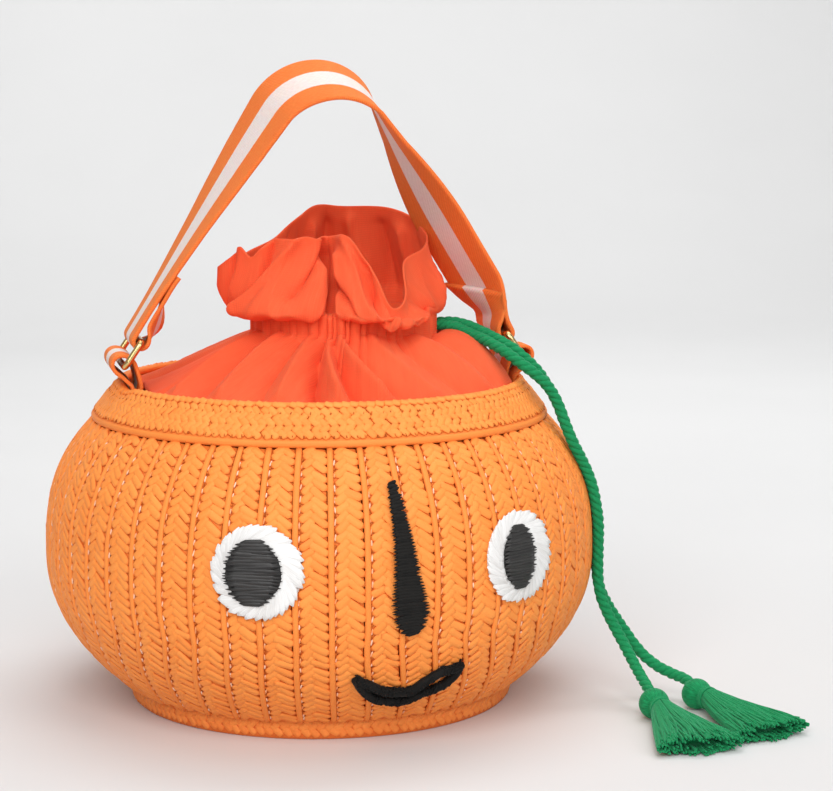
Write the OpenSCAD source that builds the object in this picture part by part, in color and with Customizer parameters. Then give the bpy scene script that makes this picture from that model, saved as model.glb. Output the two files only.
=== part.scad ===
// Wicker trick-or-treat bag: a round basket of lapped plaits with a stitched face, a gathered
// cloth top with a corded drawstring and tassels, and a webbing handle on two wire rings.
// Millimetres. It stands on the XY plane, its face looks to -Y and its handle ends lie on X.

/* [Basket wall] */
// Radius of the wall at its widest line
belly_r = 125; // [118:1:132]
// Height of the widest line
belly_z = 70; // [64:1:76]
// Radius of the wall under the rim band
shoulder_r = 103.5; // [100:0.5:107]
// Height of the wall under the rim band
shoulder_z = 129; // [124:1:134]
// How far the wall's lower end stands outside the foot band
heel_out = 3; // [1:0.5:5]
// Height of the wall over the foot band
heel_z = 9; // [8:0.5:12]
// Fullness of the wall above its widest line
shoulder_fullness = 2.7; // [2.2:0.1:3]
// Fullness of the wall below its widest line
heel_fullness = 2.2; // [2:0.1:2.8]
// Number of plaits round the wall
plait_count = 52; // [40:4:56]
// Turn of the plaits round the wall
plait_turn = -1.8; // [-4:0.1:4]
// How much wider the front plaits grow towards the foot
heel_spread = 0.3; // [0:0.02:0.4]
// Thickness of a plait
plait_t = 3.4; // [2.8:0.1:4]
// Height of the beaded edge above the plait
bead_h = 1.2; // [0.8:0.1:1.6]

/* [Rim and foot] */
// Outer radius of the rim band at its top
rim_r = 93.3; // [90:0.1:96]
// Height of the rim
rim_z = 147; // [143:1:151]
// Thickness of the rim band
band_t = 3.6; // [3:0.1:4.2]
// Radius of the bead along the rim band's lower edge
band_bead_r = 1.8; // [1.2:0.1:2.2]
// Outer radius of the foot band on the ground
foot_r = 87.5; // [84:0.5:88.5]
// How far the foot band's top lies inside the wall's lower end
foot_inset = 1.7; // [1:0.1:2.5]
// Thickness of the braided base
base_t = 3.4; // [2.5:0.1:4.5]
// Spacing of the base's braid rounds
base_pitch = 12; // [9:1:15]

/* [Cloth] */
// Thickness of the lining and of the cloth top
cloth_t = 1.2; // [0.8:0.1:1.6]
// Sideways shift of the gathered neck
neck_shift = 12; // [8:1:14]
// Backward shift of the gathered neck
neck_set_back = 2; // [0:0.5:4]
// Radius of the drawstring's loop in the neck
neck_r = 38.5; // [36:0.5:41]
// Height of the middle of the drawstring tunnel
neck_z = 170.5; // [168:0.5:173]
// Height of the cord tunnel's cloth casing
casing_h = 10.5; // [9:0.5:12]
// Thickness of the casing across the tunnel
casing_w = 9.6; // [8.5:0.1:11]
// How far the cover's edge lies below the rim
cover_drop = 4; // [3:0.5:6]
// Number of folds in the cloth cover
cover_folds = 18; // [12:1:24]
// Depth of a fold at the neck
fold_depth = 2.4; // [1:0.1:3]
// Number of waves round the frill
frill_waves = 9; // [7:1:11]
// Mean height of the frill
frill_h = 38; // [32:1:40]

/* [Drawstring] */
// Diameter of the drawstring
cord_d = 5; // [4:0.1:5.4]
// Radius of a tassel's wound head
tassel_head_r = 6.8; // [6:0.1:7]
// Length of a tassel's thread skirt
skirt_l = 47; // [40:1:52]
// Half width of the spread skirt
skirt_half_w = 19; // [15:1:20]

/* [Handle] */
// Width of the webbing
strap_w = 38; // [34:1:40]
// Thickness of the webbing
strap_t = 2; // [1.5:0.1:2.2]
// Height of the handle's top above the swing axis
handle_rise = 126; // [118:0.5:130]
// Radius of the handle's bend at the top
handle_top_r = 28.5; // [25:0.5:34]
// Length of the turned-back strap end
turnback_l = 26; // [20:1:32]
// Twist of the strap at the top, front edge down
top_twist = 34; // [0:1:36]
// Twist of the strap's left leg
left_twist = 11; // [-15:1:15]
// Twist of the strap's right leg
right_twist = -30; // [-32:1:10]
// How far the top of the handle stands forward
handle_lean = 22; // [0:1:26]
// How far the tails of a tab reach below the rim
tab_drop = 13; // [10:0.5:15]
// Radius of the ring wire
wire_r = 1.5; // [1.2:0.1:1.7]
// Distance of the ring's outer bar from the middle of the bag
ring_x = 91; // [90:0.5:93]
// Height of the ring's outer bar, which is the handle's swing axis
ring_z = 155.5; // [154.5:0.5:158]
// Sideways step from the outer bar to the inner bar of a ring
ring_step_x = 7.5; // [6:0.5:9]
// Upward step from the outer bar to the inner bar of a ring
ring_step_z = 11; // [10:0.5:13]

/* [Face] */
// Turn of the face from straight ahead
face_turn = 5; // [-8:1:8]
// Angle of each eye from the middle of the face
eye_spread = 27; // [24:1:30]
// Height of the eyes
eye_z = 81; // [78:1:84]
// Half size of the white of an eye
eye_half = 19; // [16:0.5:21]
// Half height of a pupil
pupil_half = 13; // [10:0.5:14]
// Height of the top of the nose
nose_top_z = 115; // [108:1:118]
// Height of the bottom of the nose
nose_bottom_z = 55; // [50:1:60]
// Half width of the nose at its widest
nose_half = 7.8; // [6:0.1:9]
// Half angle of the mouth
mouth_half = 11.6; // [9:0.1:14]
// Thickness of the stitched features
stitch_t = 1.4; // [0.8:0.1:2]

/* [Hidden] */
// Clearance between pieces that lie against each other
gap = 0.3;
full_turn = 360;
plaits_in_quarter = plait_count / 4;
pitch_angle = full_turn / plait_count;
heel_r = foot_r + heel_out;

// Radius of the wall's face at a height
function wall_r(z) = z > belly_z
    ? belly_r - (belly_r - shoulder_r) * pow((z - belly_z) / (shoulder_z - belly_z), shoulder_fullness)
    : belly_r - (belly_r - heel_r) * pow((belly_z - z) / (belly_z - heel_z), heel_fullness);
// Slope of the wall, outwards for each step up
slope_step = 0.01;
function wall_slope(z) = (wall_r(z + slope_step) - wall_r(z - slope_step)) / (2 * slope_step);
// Outward direction of the wall, as radius and height
function wall_out(z) = [1, -wall_slope(z)] / norm([1, -wall_slope(z)]);
// Upward direction along the wall, as radius and height
function wall_up(z) = [wall_slope(z), 1] / norm([wall_slope(z), 1]);
// Radius and height at a distance out from the wall's face
function wall_rz(z, out) = [wall_r(z), z] + out * wall_out(z);
// Point by angle, height, distance along the flat of a plait and distance out
function wall_point(angle, z, along, out) =
    let (p = wall_rz(z, out))
    [p[0] * cos(angle) - along * sin(angle), p[0] * sin(angle) + along * cos(angle), p[1]];
// Point on the round wall, by angle, height and distance out
function round_point(angle, z, out) = wall_point(angle, z, 0, out);
function mix(a, b, share) = a + (b - a) * share;

// Solid through a row of outlines with the same number of points
module skin(rings) {
    side = len(rings[0]);
    last = len(rings) - 1;
    points = [for (ring = rings) each ring];
    faces = concat(
        [for (k = [0 : last - 1], j = [0 : side - 1])
            [k * side + j, (k + 1) * side + j, (k + 1) * side + (j + 1) % side]],
        [for (k = [0 : last - 1], j = [0 : side - 1])
            [k * side + j, (k + 1) * side + (j + 1) % side, k * side + (j + 1) % side]],
        [[for (j = [0 : side - 1]) j]],
        [[for (j = [side - 1 : -1 : 0]) last * side + j]]);
    polyhedron(points, faces, convexity = 6);
}

// Solid through outlines that come back to the first one
module skin_loop(rings) {
    side = len(rings[0]);
    count = len(rings);
    points = [for (ring = rings) each ring];
    faces = concat(
        [for (k = [0 : count - 1], j = [0 : side - 1])
            [k * side + j, ((k + 1) % count) * side + j, ((k + 1) % count) * side + (j + 1) % side]],
        [for (k = [0 : count - 1], j = [0 : side - 1])
            [k * side + j, ((k + 1) % count) * side + (j + 1) % side, k * side + (j + 1) % side]]);
    polyhedron(points, faces, convexity = 6);
}

// A plait's cross section: share of the pitch, and distance out from the wall's face.
// The beaded left edge laps over the tongue of the plait before it.
lip_under = -0.7;
tongue_top = lip_under - 1.5 * gap;
tongue_share = 0.06;
lip_share = 0.12;
plait_section = [
    [0, lip_under], [0.05, bead_h], [0.17, 0], [0.5, bead_h / 2],
    [0.97, -0.2], [0.97, tongue_top], [1 + tongue_share, tongue_top],
    [1 + tongue_share, -plait_t], [lip_share, -plait_t], [lip_share, lip_under]];
plait_levels = 7;
level_crowding = 0.06;
function plait_z(k) =
    let (share = k / plait_levels)
    mix(heel_z, shoulder_z, share - level_crowding * sin(full_turn * share));

// The front plaits keep their width below the belly, so their edges turn away from this direction
spread_from = -102;
spread_z = mix(heel_z, belly_z, 2 / 3);
spread_growth = 1.3;
function spread_at(z) = z > spread_z
    ? 0
    : heel_spread * pow((spread_z - z) / (spread_z - heel_z), spread_growth);
function spread_angle(angle, z) = angle + spread_at(z) * sin(angle - spread_from) * 180 / PI;

module plait(index) {
    left = index * pitch_angle + plait_turn;
    skin([for (k = [0 : plait_levels])
        let (z = plait_z(k),
             low = spread_angle(left, z),
             high = spread_angle(left + pitch_angle, z),
             width = 2 * wall_r(z) * tan((high - low) / 2))
        [for (p = plait_section) wall_point((low + high) / 2, z, (p[0] - 0.5) * width, p[1])]]);
}

module plaits_from(quarter) {
    color("#F2913F")
        for (i = [0 : plaits_in_quarter - 1])
            plait(quarter * plaits_in_quarter + i);
}

// Quarters are counted from straight ahead on the right side, against the clock from above
module side_plaits_right_rear() { plaits_from(0); }
module side_plaits_left_rear() { plaits_from(1); }
module side_plaits_left_front() { plaits_from(2); }
module side_plaits_right_front() { plaits_from(3); }

// Corners of the rim band's section
band_seat = [shoulder_r, shoulder_z] + 1.2 * gap * wall_up(shoulder_z);
band_seat_in = wall_rz(shoulder_z, -plait_t) + 1.2 * gap * wall_up(shoulder_z);
band_bead_at = band_seat + [-band_bead_r * 0.35, band_bead_r];
band_lean = ([rim_r, rim_z] - band_bead_at) / norm([rim_r, rim_z] - band_bead_at);
band_in = [-band_lean[1], band_lean[0]];
rim_edge_r = band_t / 2;
rim_edge_at = [rim_r - rim_edge_r, rim_z - rim_edge_r];
band_face_angle = atan2(-band_in[1], -band_in[0]);

// Inner radius of the rim band at a height near its top
function band_inner_r(z) =
    rim_edge_at[0] + rim_edge_r * band_in[0] + (z - rim_edge_at[1]) * band_lean[0] / band_lean[1];

module rim_band() {
    bead_arc = [for (a = [-60 : 20 : 60]) band_bead_at + band_bead_r * [cos(a), sin(a)]];
    top_arc = [for (a = [0 : 30 : 180])
        rim_edge_at + rim_edge_r * [cos(band_face_angle + a), sin(band_face_angle + a)]];
    color("#F2913F")
        rotate_extrude($fn = 128)
            polygon(concat([band_seat_in], [band_seat], bead_arc, top_arc));
}

foot_h = heel_z + 1.5;
foot_top_r = heel_r - foot_inset;

module foot_band() {
    color("#EC8836")
        rotate_extrude($fn = 128)
            polygon([[foot_r, 0], [foot_top_r, foot_h], [foot_top_r - band_t, foot_h], [foot_r - band_t, 0]]);
}

// The base is one braid wound in rounds, so its underside is ribbed
base_r = foot_r - band_t - gap;
base_z = foot_h - base_t - 1;
rib_depth = 0.9;
rib_steps = 4;

module base_disc() {
    rounds = floor(base_r / base_pitch);
    width = base_r / rounds;
    ribs = [for (i = [0 : rounds * rib_steps])
        let (r = i * width / rib_steps)
        [r, base_z + rib_depth * (1 - abs(sin(180 * r / width)))]];
    color("#EC8836")
        rotate_extrude($fn = 96)
            polygon(concat(ribs, [[base_r, base_z + base_t], [0, base_z + base_t]]));
}

// The lining is a cloth bag against the wall and over the base
lining_out = -plait_t - 2 * gap;
lining_floor_z = base_z + base_t + gap;

module lining() {
    function level_rz(k, out) = wall_rz(plait_z(k), out);
    function lining_side(out) = concat(
        [for (k = [1 : plait_levels - 1]) level_rz(k, out)],
        [mix(level_rz(plait_levels - 1, out), level_rz(plait_levels, out), 0.8)]);
    outer = lining_side(lining_out);
    inner = lining_side(lining_out - cloth_t);
    floor_r = foot_top_r - band_t - 1.5 * gap;
    floor_out = [[0, lining_floor_z], [floor_r, lining_floor_z], [floor_r, foot_h + 1.5 * gap]];
    floor_in = [[floor_r - cloth_t, lining_floor_z + cloth_t], [0, lining_floor_z + cloth_t]];
    color("#D9491F")
        rotate_extrude($fn = 96)
            polygon(concat(floor_out, outer, [for (i = [len(inner) - 1 : -1 : 0]) inner[i]], floor_in));
}

// Cover: a shallow cone of cloth from the rim to the neck, with folds that deepen inwards.
// Beside each handle tab its edge is drawn in, clear of the tab's two plies.
ply_step = strap_t + gap;
tab_tail_z = rim_z - tab_drop;
tab_root_z = rim_z - 1;
tab_steps = 8;
tab_root_x = sqrt(pow(band_inner_r(tab_root_z), 2) - pow(strap_w / 2, 2)) - strap_t / 2 - 3 * gap;
tab_tail_x = sqrt(pow(band_inner_r(tab_tail_z), 2) - pow(strap_w / 2, 2)) - strap_t / 2 - 6 * gap;
tab_inner_x = tab_root_x - 1.1 * ply_step - strap_t / 2;
cover_steps = 72;
cover_rows = 5;
cover_edge_z = rim_z - cover_drop;
cover_edge_r = band_inner_r(cover_edge_z) - 3 * gap;
tab_draw_in = cover_edge_r - tab_inner_x + 3 * gap;
tab_draw_angle = 18;
cover_top_z = neck_z - casing_h / 2 - gap;
cover_rise = 1.5;

function from_tab(angle) = 90 - abs(abs(angle % 180) - 90);
function drawn_in(angle) = tab_draw_in * exp(-pow(from_tab(angle) / tab_draw_angle, 6));
function cover_point(angle, share, inner) =
    let (r = mix(cover_edge_r - drawn_in(angle), neck_r, share)
             + fold_depth * share * (1 - share / 2) * cos(cover_folds * angle) - inner * cloth_t,
         z = mix(cover_edge_z, cover_top_z, pow(share, cover_rise)) - inner * cloth_t)
    [neck_shift * share + r * cos(angle), neck_set_back * share + r * sin(angle), z];

module cloth_cover() {
    angles = [for (j = [0 : cover_steps - 1]) j * full_turn / cover_steps];
    outer = [for (k = [0 : cover_rows]) [for (a = angles) cover_point(a, k / cover_rows, 0)]];
    inner = [for (k = [cover_rows : -1 : 0]) [for (a = angles) cover_point(a, k / cover_rows, 1)]];
    color("#FA5A2E")
        skin_loop(concat(outer, inner));
}

// Casing: the stitched tunnel for the drawstring, with a slot where both ends come out
tunnel_r = cord_d / 2 + 1.5 * gap;
cord_exit = -12;
casing_round = 2.5;

module neck_casing() {
    low = neck_z - casing_h / 2;
    high = neck_z + casing_h / 2;
    in_r = neck_r - casing_w / 2;
    out_r = neck_r + casing_w / 2;
    slot = [casing_w, 2 * cord_d + 8 * gap, cord_d + 4 * gap];
    color("#F0522A")
        translate([neck_shift, neck_set_back, 0])
            difference() {
                rotate_extrude($fn = 96)
                    difference() {
                        polygon([
                            [in_r, low + casing_round], [in_r + casing_round, low],
                            [out_r - casing_round, low], [out_r, low + casing_round],
                            [out_r, high - casing_round], [out_r - casing_round, high],
                            [in_r + casing_round, high], [in_r, high - casing_round]]);
                        translate([neck_r, neck_z])
                            circle(r = tunnel_r, $fn = 32);
                    }
                rotate([0, 0, cord_exit])
                    translate([neck_r, -slot[1] / 2, neck_z - slot[2] / 2])
                        cube(slot);
            }
}

// Frill: the free cloth above the casing, thrown out in waves and held in beside the handle
frill_steps = 72;
frill_rows = 4;
frill_low_z = neck_z + casing_h / 2 + gap;
frill_mean_flare = 5;
frill_side_flare = 11.5;
frill_front_flare = 6;
frill_back_rise = 8;
frill_left_fall = 22;
wave_depth = 5;

function frill_point(angle, share, inner) =
    let (flare = frill_mean_flare - frill_side_flare * cos(angle) - frill_front_flare * sin(angle),
         wave = wave_depth * (1 - 0.8 * cos(angle)) * cos(frill_waves * angle),
         r = neck_r + (flare + wave) * pow(share, 0.8) - inner * cloth_t,
         height = frill_h + frill_back_rise * sin(angle) - frill_left_fall * pow((1 - cos(angle)) / 2, 3),
         z = frill_low_z + height * share)
    [neck_shift + r * cos(angle), neck_set_back + r * sin(angle), z];

module frill() {
    angles = [for (j = [0 : frill_steps - 1]) j * full_turn / frill_steps];
    outer = [for (k = [0 : frill_rows]) [for (a = angles) frill_point(a, k / frill_rows, 0)]];
    inner = [for (k = [frill_rows : -1 : 0]) [for (a = angles) frill_point(a, k / frill_rows, 1)]];
    color("#FA5A2E")
        skin_loop(concat(outer, inner));
}

// The drawstring: a loop in the tunnel, and two ends that hang over the rim to the ground
loop_opening = 24;

module drawstring_loop() {
    color("#12955A")
        translate([neck_shift, neck_set_back, neck_z])
            rotate([0, 0, cord_exit + loop_opening / 2])
                rotate_extrude(angle = full_turn - loop_opening, $fn = 96)
                    translate([neck_r, 0])
                        circle(d = cord_d, $fn = 32);
}

front_route = [
    [52.5, -10, 170.5], [57.5, -11, 170], [62, -14, 169], [65.5, -19, 167], [69.5, -25, 165.5],
    [73, -31, 163.5], [76, -35.5, 161.5], [79, -38.5, 159.5], [84.5, -42, 155], [90, -43.5, 151],
    [94.5, -43.5, 147], [98.5, -43.5, 142], [101.5, -43, 137], [106, -43, 128], [110.5, -43.5, 119.5],
    [116, -41, 110], [120, -42, 100.5], [122, -41.5, 91.5], [123.5, -41.5, 82], [123.5, -41, 72.5],
    [123.5, -41, 63.5], [123.5, -41.5, 54], [125, -44, 45], [127, -48, 36.5], [129.5, -53.5, 28.5],
    [132.5, -60, 20.5], [134, -66.5, 15.5], [135, -73.5, 12], [135, -79, 10]];
rear_route = [
    [53.5, -3.5, 170.5], [59.5, -5.5, 171], [65, -9.5, 170.5], [70, -16, 168.5], [74, -22, 166.5],
    [77.5, -28, 164.5], [80.5, -32.5, 162.5], [83.5, -35.5, 160.5], [88.5, -37.5, 156],
    [93, -38.5, 151.5], [96, -38.5, 147], [99.5, -38, 142], [102.5, -37.5, 137], [107, -37.5, 128],
    [111.5, -38, 119.5], [117, -35.5, 110], [121, -36.5, 100.5], [123, -36, 91.5], [124, -36, 82],
    [124.5, -35.5, 72.5], [124.5, -35.5, 63.5], [124.5, -36, 54], [127.5, -37.5, 45], [131.5, -39, 36],
    [137, -42.5, 26], [142.5, -46.5, 18.5], [149, -51, 13.5], [155, -55.5, 11], [158.5, -61, 10],
    [159, -67, 8.5]];

cord_sides = 10;
function unit(v) = v / norm(v);
function heading(route, i) =
    unit(route[min(i + 1, len(route) - 1)] - route[max(i - 1, 0)]);

// Round tube along a route, its rings square to the route
module cord_along(route) {
    skin([for (i = [0 : len(route) - 1])
        let (ahead = heading(route, i),
             across = unit(cross(ahead, [0.3, 1, 0.1])),
             over = cross(ahead, across))
        [for (j = [0 : cord_sides - 1])
            let (a = j * full_turn / cord_sides)
            route[i] + cord_d / 2 * (cos(a) * across + sin(a) * over)]]);
}

module drawstring_front() { color("#12955A") cord_along(front_route); }
module drawstring_rear() { color("#12955A") cord_along(rear_route); }

// Tassels lie on the ground: [x, y, direction] of each head
front_tassel_at = [134.5, -86, -88];
rear_tassel_at = [158.5, -74.5, -74];
tassel_z = tassel_head_r + gap;
tassel_neck_r = 4.6;
binding_l = 3;
binding_r = 5.3;
binding_x = tassel_head_r + gap;
skirt_x = binding_x + binding_l + gap;

module lay_tassel(at) {
    translate([at[0], at[1], 0])
        rotate([0, 0, at[2]])
            children();
}

// Turned solid along the tassel's own length
module turned(profile) {
    translate([0, 0, tassel_z])
        rotate([0, 90, 0])
            rotate_extrude($fn = 48)
                polygon(profile);
}

module tassel_head(at) {
    bulb = [for (a = [-90 : 15 : 45]) tassel_head_r * [cos(a), sin(a)]];
    color("#12955A")
        lay_tassel(at)
            turned(concat(bulb, [[tassel_neck_r, tassel_head_r], [0, tassel_head_r]]));
}

module tassel_binding(at) {
    crown = [for (a = [-90 : 30 : 90])
        [binding_r - 0.6 + 0.6 * cos(a), binding_x + binding_l / 2 * (1 + sin(a))]];
    color("#0E8550")
        lay_tassel(at)
            turned(concat([[0, binding_x]], crown, [[0, binding_x + binding_l]]));
}

skirt_sides = 24;
skirt_rows = 5;
skirt_end_h = 3.8;
skirt_flutes = 8;

module tassel_skirt(at) {
    function half_w(share) = mix(tassel_neck_r, skirt_half_w, pow(share, 0.9));
    function half_h(share) = mix(tassel_neck_r, skirt_end_h, share) + 2 * share * (1 - share);
    function mid_z(share) = mix(tassel_z, skirt_end_h + 2 * gap, min(1, 3 * share))
        + max(0, half_h(share) - skirt_end_h) * min(1, 3 * share);
    color("#12955A")
        lay_tassel(at)
            skin([for (k = [0 : skirt_rows])
                let (share = k / skirt_rows)
                [for (j = [0 : skirt_sides - 1])
                    let (a = j * full_turn / skirt_sides,
                         flute = 1 + 0.05 * share * cos(skirt_flutes * a))
                    [skirt_x + share * (skirt_l + 3 * cos(a) * cos(a)) - 6 * share * abs(cos(a)),
                     half_w(share) * flute * cos(a),
                     mid_z(share) + half_h(share) * sin(a)]]]);
}

module tassel_head_front() { tassel_head(front_tassel_at); }
module tassel_head_rear() { tassel_head(rear_tassel_at); }
module tassel_binding_front() { tassel_binding(front_tassel_at); }
module tassel_binding_rear() { tassel_binding(rear_tassel_at); }
module tassel_skirt_front() { tassel_skirt(front_tassel_at); }
module tassel_skirt_rear() { tassel_skirt(rear_tassel_at); }

// The handle is drawn about its swing axis
module on_swing_axis() {
    translate([0, 0, ring_z])
        children();
}

// Each end loop runs round the ring's inner bar, and its leg meets the top bend
inner_bar = [ring_x - ring_step_x, ring_step_z];
bend_at = [0, handle_rise - handle_top_r];
loop_r = wire_r + strap_t / 2 + 2.6 * gap;
to_bend = bend_at - inner_bar;
leg_turn = asin((handle_top_r - loop_r) / norm(to_bend));
leg_angle = atan2(to_bend[1], to_bend[0]) - leg_turn;
leg_out = [cos(leg_angle - 90), sin(leg_angle - 90)];
leg_along = [cos(leg_angle), sin(leg_angle)];
leg_l = norm(to_bend) * cos(leg_turn);
ply_from = 3.5 * loop_r;
loop_steps = 7;
leg_steps = 6;
bend_steps = 5;

// Right half of the strap's middle line, from the turned-back end to the top
right_half = let (
        leg_from = inner_bar + loop_r * leg_out,
        sewn = [ply_from, mix(ply_from, turnback_l, 0.5), turnback_l])
    concat(
        [for (i = [2 : -1 : 0]) leg_from - ply_step * leg_out + sewn[i] * leg_along],
        [for (i = [0 : loop_steps])
            inner_bar + loop_r * [cos(leg_angle + 90 + 180 * i / loop_steps),
                                  sin(leg_angle + 90 + 180 * i / loop_steps)]],
        [for (s = sewn) leg_from + s * leg_along],
        [for (i = [1 : leg_steps]) leg_from + mix(turnback_l, leg_l, i / leg_steps) * leg_along],
        [for (i = [1 : bend_steps])
            let (a = mix(leg_angle - 90, 90, i / bend_steps))
            bend_at + handle_top_r * [cos(a), sin(a)]]);
half_count = len(right_half);
strap_line = concat(right_half, [for (i = [half_count - 2 : -1 : 0]) [-right_half[i][0], right_half[i][1]]]);

// Twist and forward lean by the distance up the leg: the ends stay square to their rings
function ease(share) = let (x = max(0, min(1, share))) x * x * (3 - 2 * x);
function up_leg(place) = ([abs(place[0]), place[1]] - inner_bar) * leg_along;
top_up = up_leg([0, handle_rise]);
twist_from = 2 * loop_r;
twist_l = 80;
lean_growth = 2.2;
function strap_turn(place) =
    let (leg = place[0] < 0 ? left_twist : right_twist, up = up_leg(place))
    mix(leg * ease((up - twist_from) / twist_l), top_twist, ease((up / top_up - 0.37) / 0.8));
function strap_forward(place) = -handle_lean * pow(max(0, up_leg(place) / top_up), lean_growth);
function strap_ring(i) =
    let (last = len(strap_line) - 1,
         ahead = unit(strap_line[min(i + 1, last)] - strap_line[max(i - 1, 0)]),
         out = [ahead[1], 0, -ahead[0]],
         turned_back = (i < half_count ? ahead[1] : -ahead[1]) < -0.01,
         turn = strap_turn(strap_line[i]) * (turned_back ? -1 : 1),
         across = cos(turn) * [0, 1, 0] + sin(turn) * out,
         face = cos(turn) * out - sin(turn) * [0, 1, 0],
         at = [strap_line[i][0], strap_forward(strap_line[i]), strap_line[i][1]])
    [at - across * strap_w / 2 + face * strap_t / 2, at + across * strap_w / 2 + face * strap_t / 2,
     at + across * strap_w / 2 - face * strap_t / 2, at - across * strap_w / 2 - face * strap_t / 2];

module handle_strap() {
    color("#F07830")
        on_swing_axis()
            skin([for (i = [0 : len(strap_line) - 1]) strap_ring(i)]);
}

// A ring of round wire: two long bars and two short ones, joined by bent corners
ring_corner_r = 3;
ring_half_w = strap_w / 2 + 2 * gap + wire_r;
ring_l = norm([ring_step_x, ring_step_z]);

module wire_ring() {
    module bar(length) {
        cylinder(r = wire_r, h = length, center = true, $fn = 32);
    }
    for (end = [0, 1])
        translate([end * ring_l, 0, 0])
            rotate([90, 0, 0])
                bar(2 * (ring_half_w - ring_corner_r));
    for (side = [-1, 1])
        translate([ring_l / 2, side * ring_half_w, 0])
            rotate([0, 90, 0])
                bar(ring_l - 2 * ring_corner_r);
    for (end = [0, 1], side = [-1, 1])
        translate([mix(ring_corner_r, ring_l - ring_corner_r, end), side * (ring_half_w - ring_corner_r), 0])
            rotate([0, 0, side > 0 ? 90 - 90 * end : 180 + 90 * end])
                rotate_extrude(angle = 90, $fn = 48)
                    translate([ring_corner_r, 0])
                        circle(r = wire_r, $fn = 32);
}

module ring_at_right() {
    color("#D9B45A")
        on_swing_axis()
            translate([ring_x, 0, 0])
                rotate([0, -atan2(ring_step_z, -ring_step_x), 0])
                    wire_ring();
}

module ring_right() { ring_at_right(); }
module ring_left() { mirror([1, 0, 0]) ring_at_right(); }

// A tab is a webbing loop: both tails lie inside the rim band, and it holds the ring's outer bar

// Ribbon of even thickness along a line of points
module ribbon(line, t) {
    last = len(line) - 1;
    function side_of(i) =
        let (before = unit(line[max(i, 1)] - line[max(i, 1) - 1]),
             after = unit(line[min(i, last - 1) + 1] - line[min(i, last - 1)]),
             middle = unit(before + after))
        [-middle[1], middle[0]] / max(0.5, middle * before);
    polygon(concat(
        [for (i = [0 : last]) line[i] + side_of(i) * t / 2],
        [for (i = [last : -1 : 0]) line[i] - side_of(i) * t / 2]));
}

module tab_at_right() {
    bar = [ring_x, ring_z];
    root = [tab_root_x, tab_root_z];
    tail = [tab_tail_x, tab_tail_z];
    away = unit(bar - root);
    start_angle = atan2(away[1], away[0]) - 90;
    loop = [for (i = [0 : tab_steps])
        bar + loop_r * [cos(start_angle + 180 * i / tab_steps), sin(start_angle + 180 * i / tab_steps)]];
    color("#F07830")
        rotate([90, 0, 0])
            linear_extrude(strap_w, center = true)
                ribbon(concat(
                    [tail, root], loop, [root + [-ply_step, 2 * ply_step], root + [-1.1 * ply_step, 0],
                    tail + [-1.3 * ply_step, 0]]), strap_t);
}

module tab_right() { tab_at_right(); }
module tab_left() { mirror([1, 0, 0]) tab_at_right(); }

// The face is stitched through the plaits and stands on their beads
stitch_low = bead_h + 2.2 * gap;
stitch_high = stitch_low + stitch_t;
ahead_angle = -90 + face_turn;
eye_steps = 24;
eye_lean = 1.5;

// Point of a stitched feature, by distances across and up from a place on the wall
function stitch_point(angle, z, across, up, out) =
    round_point(angle + across / wall_r(z) * 180 / PI, z + up, out);

// White of an eye: a ring of slanted stitches round the pupil, wider on one side
module eye_white(angle, pupil_w) {
    color("white")
        skin_loop([for (k = [0 : eye_steps - 1])
            let (a = -k * full_turn / eye_steps,
                 hole = [(pupil_w + 1.2 * gap) * cos(a) - eye_lean, (pupil_half + 1.2 * gap) * sin(a)],
                 edge = [eye_half * cos(a), eye_half * sin(a)],
                 crown = mix(hole, edge, 0.55))
            [stitch_point(angle, eye_z, hole[0], hole[1], stitch_low),
             stitch_point(angle, eye_z, edge[0], edge[1], stitch_low),
             stitch_point(angle, eye_z, edge[0], edge[1], stitch_low + stitch_t / 2),
             stitch_point(angle, eye_z, crown[0], crown[1], stitch_high + gap),
             stitch_point(angle, eye_z, hole[0], hole[1], stitch_high)]]);
}

// Pupil: a crowned oval of close stitches
pupil_rows = [[0.03, 0], [0.5, 0], [1, 0], [1, 0.7], [0.6, 1], [0.03, 1.1]];

module eye_pupil(angle, pupil_w) {
    color("#2B2B2B")
        skin([for (row = pupil_rows)
            [for (k = [0 : eye_steps - 1])
                let (a = k * full_turn / eye_steps)
                stitch_point(angle, eye_z, pupil_w * row[0] * cos(a) - eye_lean,
                             pupil_half * row[0] * sin(a), stitch_low + row[1] * stitch_t)]]);
}

left_eye_angle = ahead_angle - eye_spread;
right_eye_angle = ahead_angle + eye_spread;
left_pupil_w = 11.6;
right_pupil_w = 9.8;

module eye_white_left() { eye_white(left_eye_angle, left_pupil_w); }
module eye_white_right() { eye_white(right_eye_angle, right_pupil_w); }
module eye_pupil_left() { eye_pupil(left_eye_angle, left_pupil_w); }
module eye_pupil_right() { eye_pupil(right_eye_angle, right_pupil_w); }

// Section of a wool feature between two edges, crowned in the middle
function wool_section(angle, z, low, high) =
    let (middle = (low + high) / 2)
    [stitch_point(angle, z, low[0], low[1], stitch_low),
     stitch_point(angle, z, middle[0], middle[1], stitch_low),
     stitch_point(angle, z, high[0], high[1], stitch_low),
     stitch_point(angle, z, high[0], high[1], stitch_low + stitch_t / 2),
     stitch_point(angle, z, middle[0], middle[1], stitch_high + gap),
     stitch_point(angle, z, low[0], low[1], stitch_low + stitch_t / 2)];

nose_steps = 12;
nose_tip_half = 2.4;
nose_lean = 6;

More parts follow.
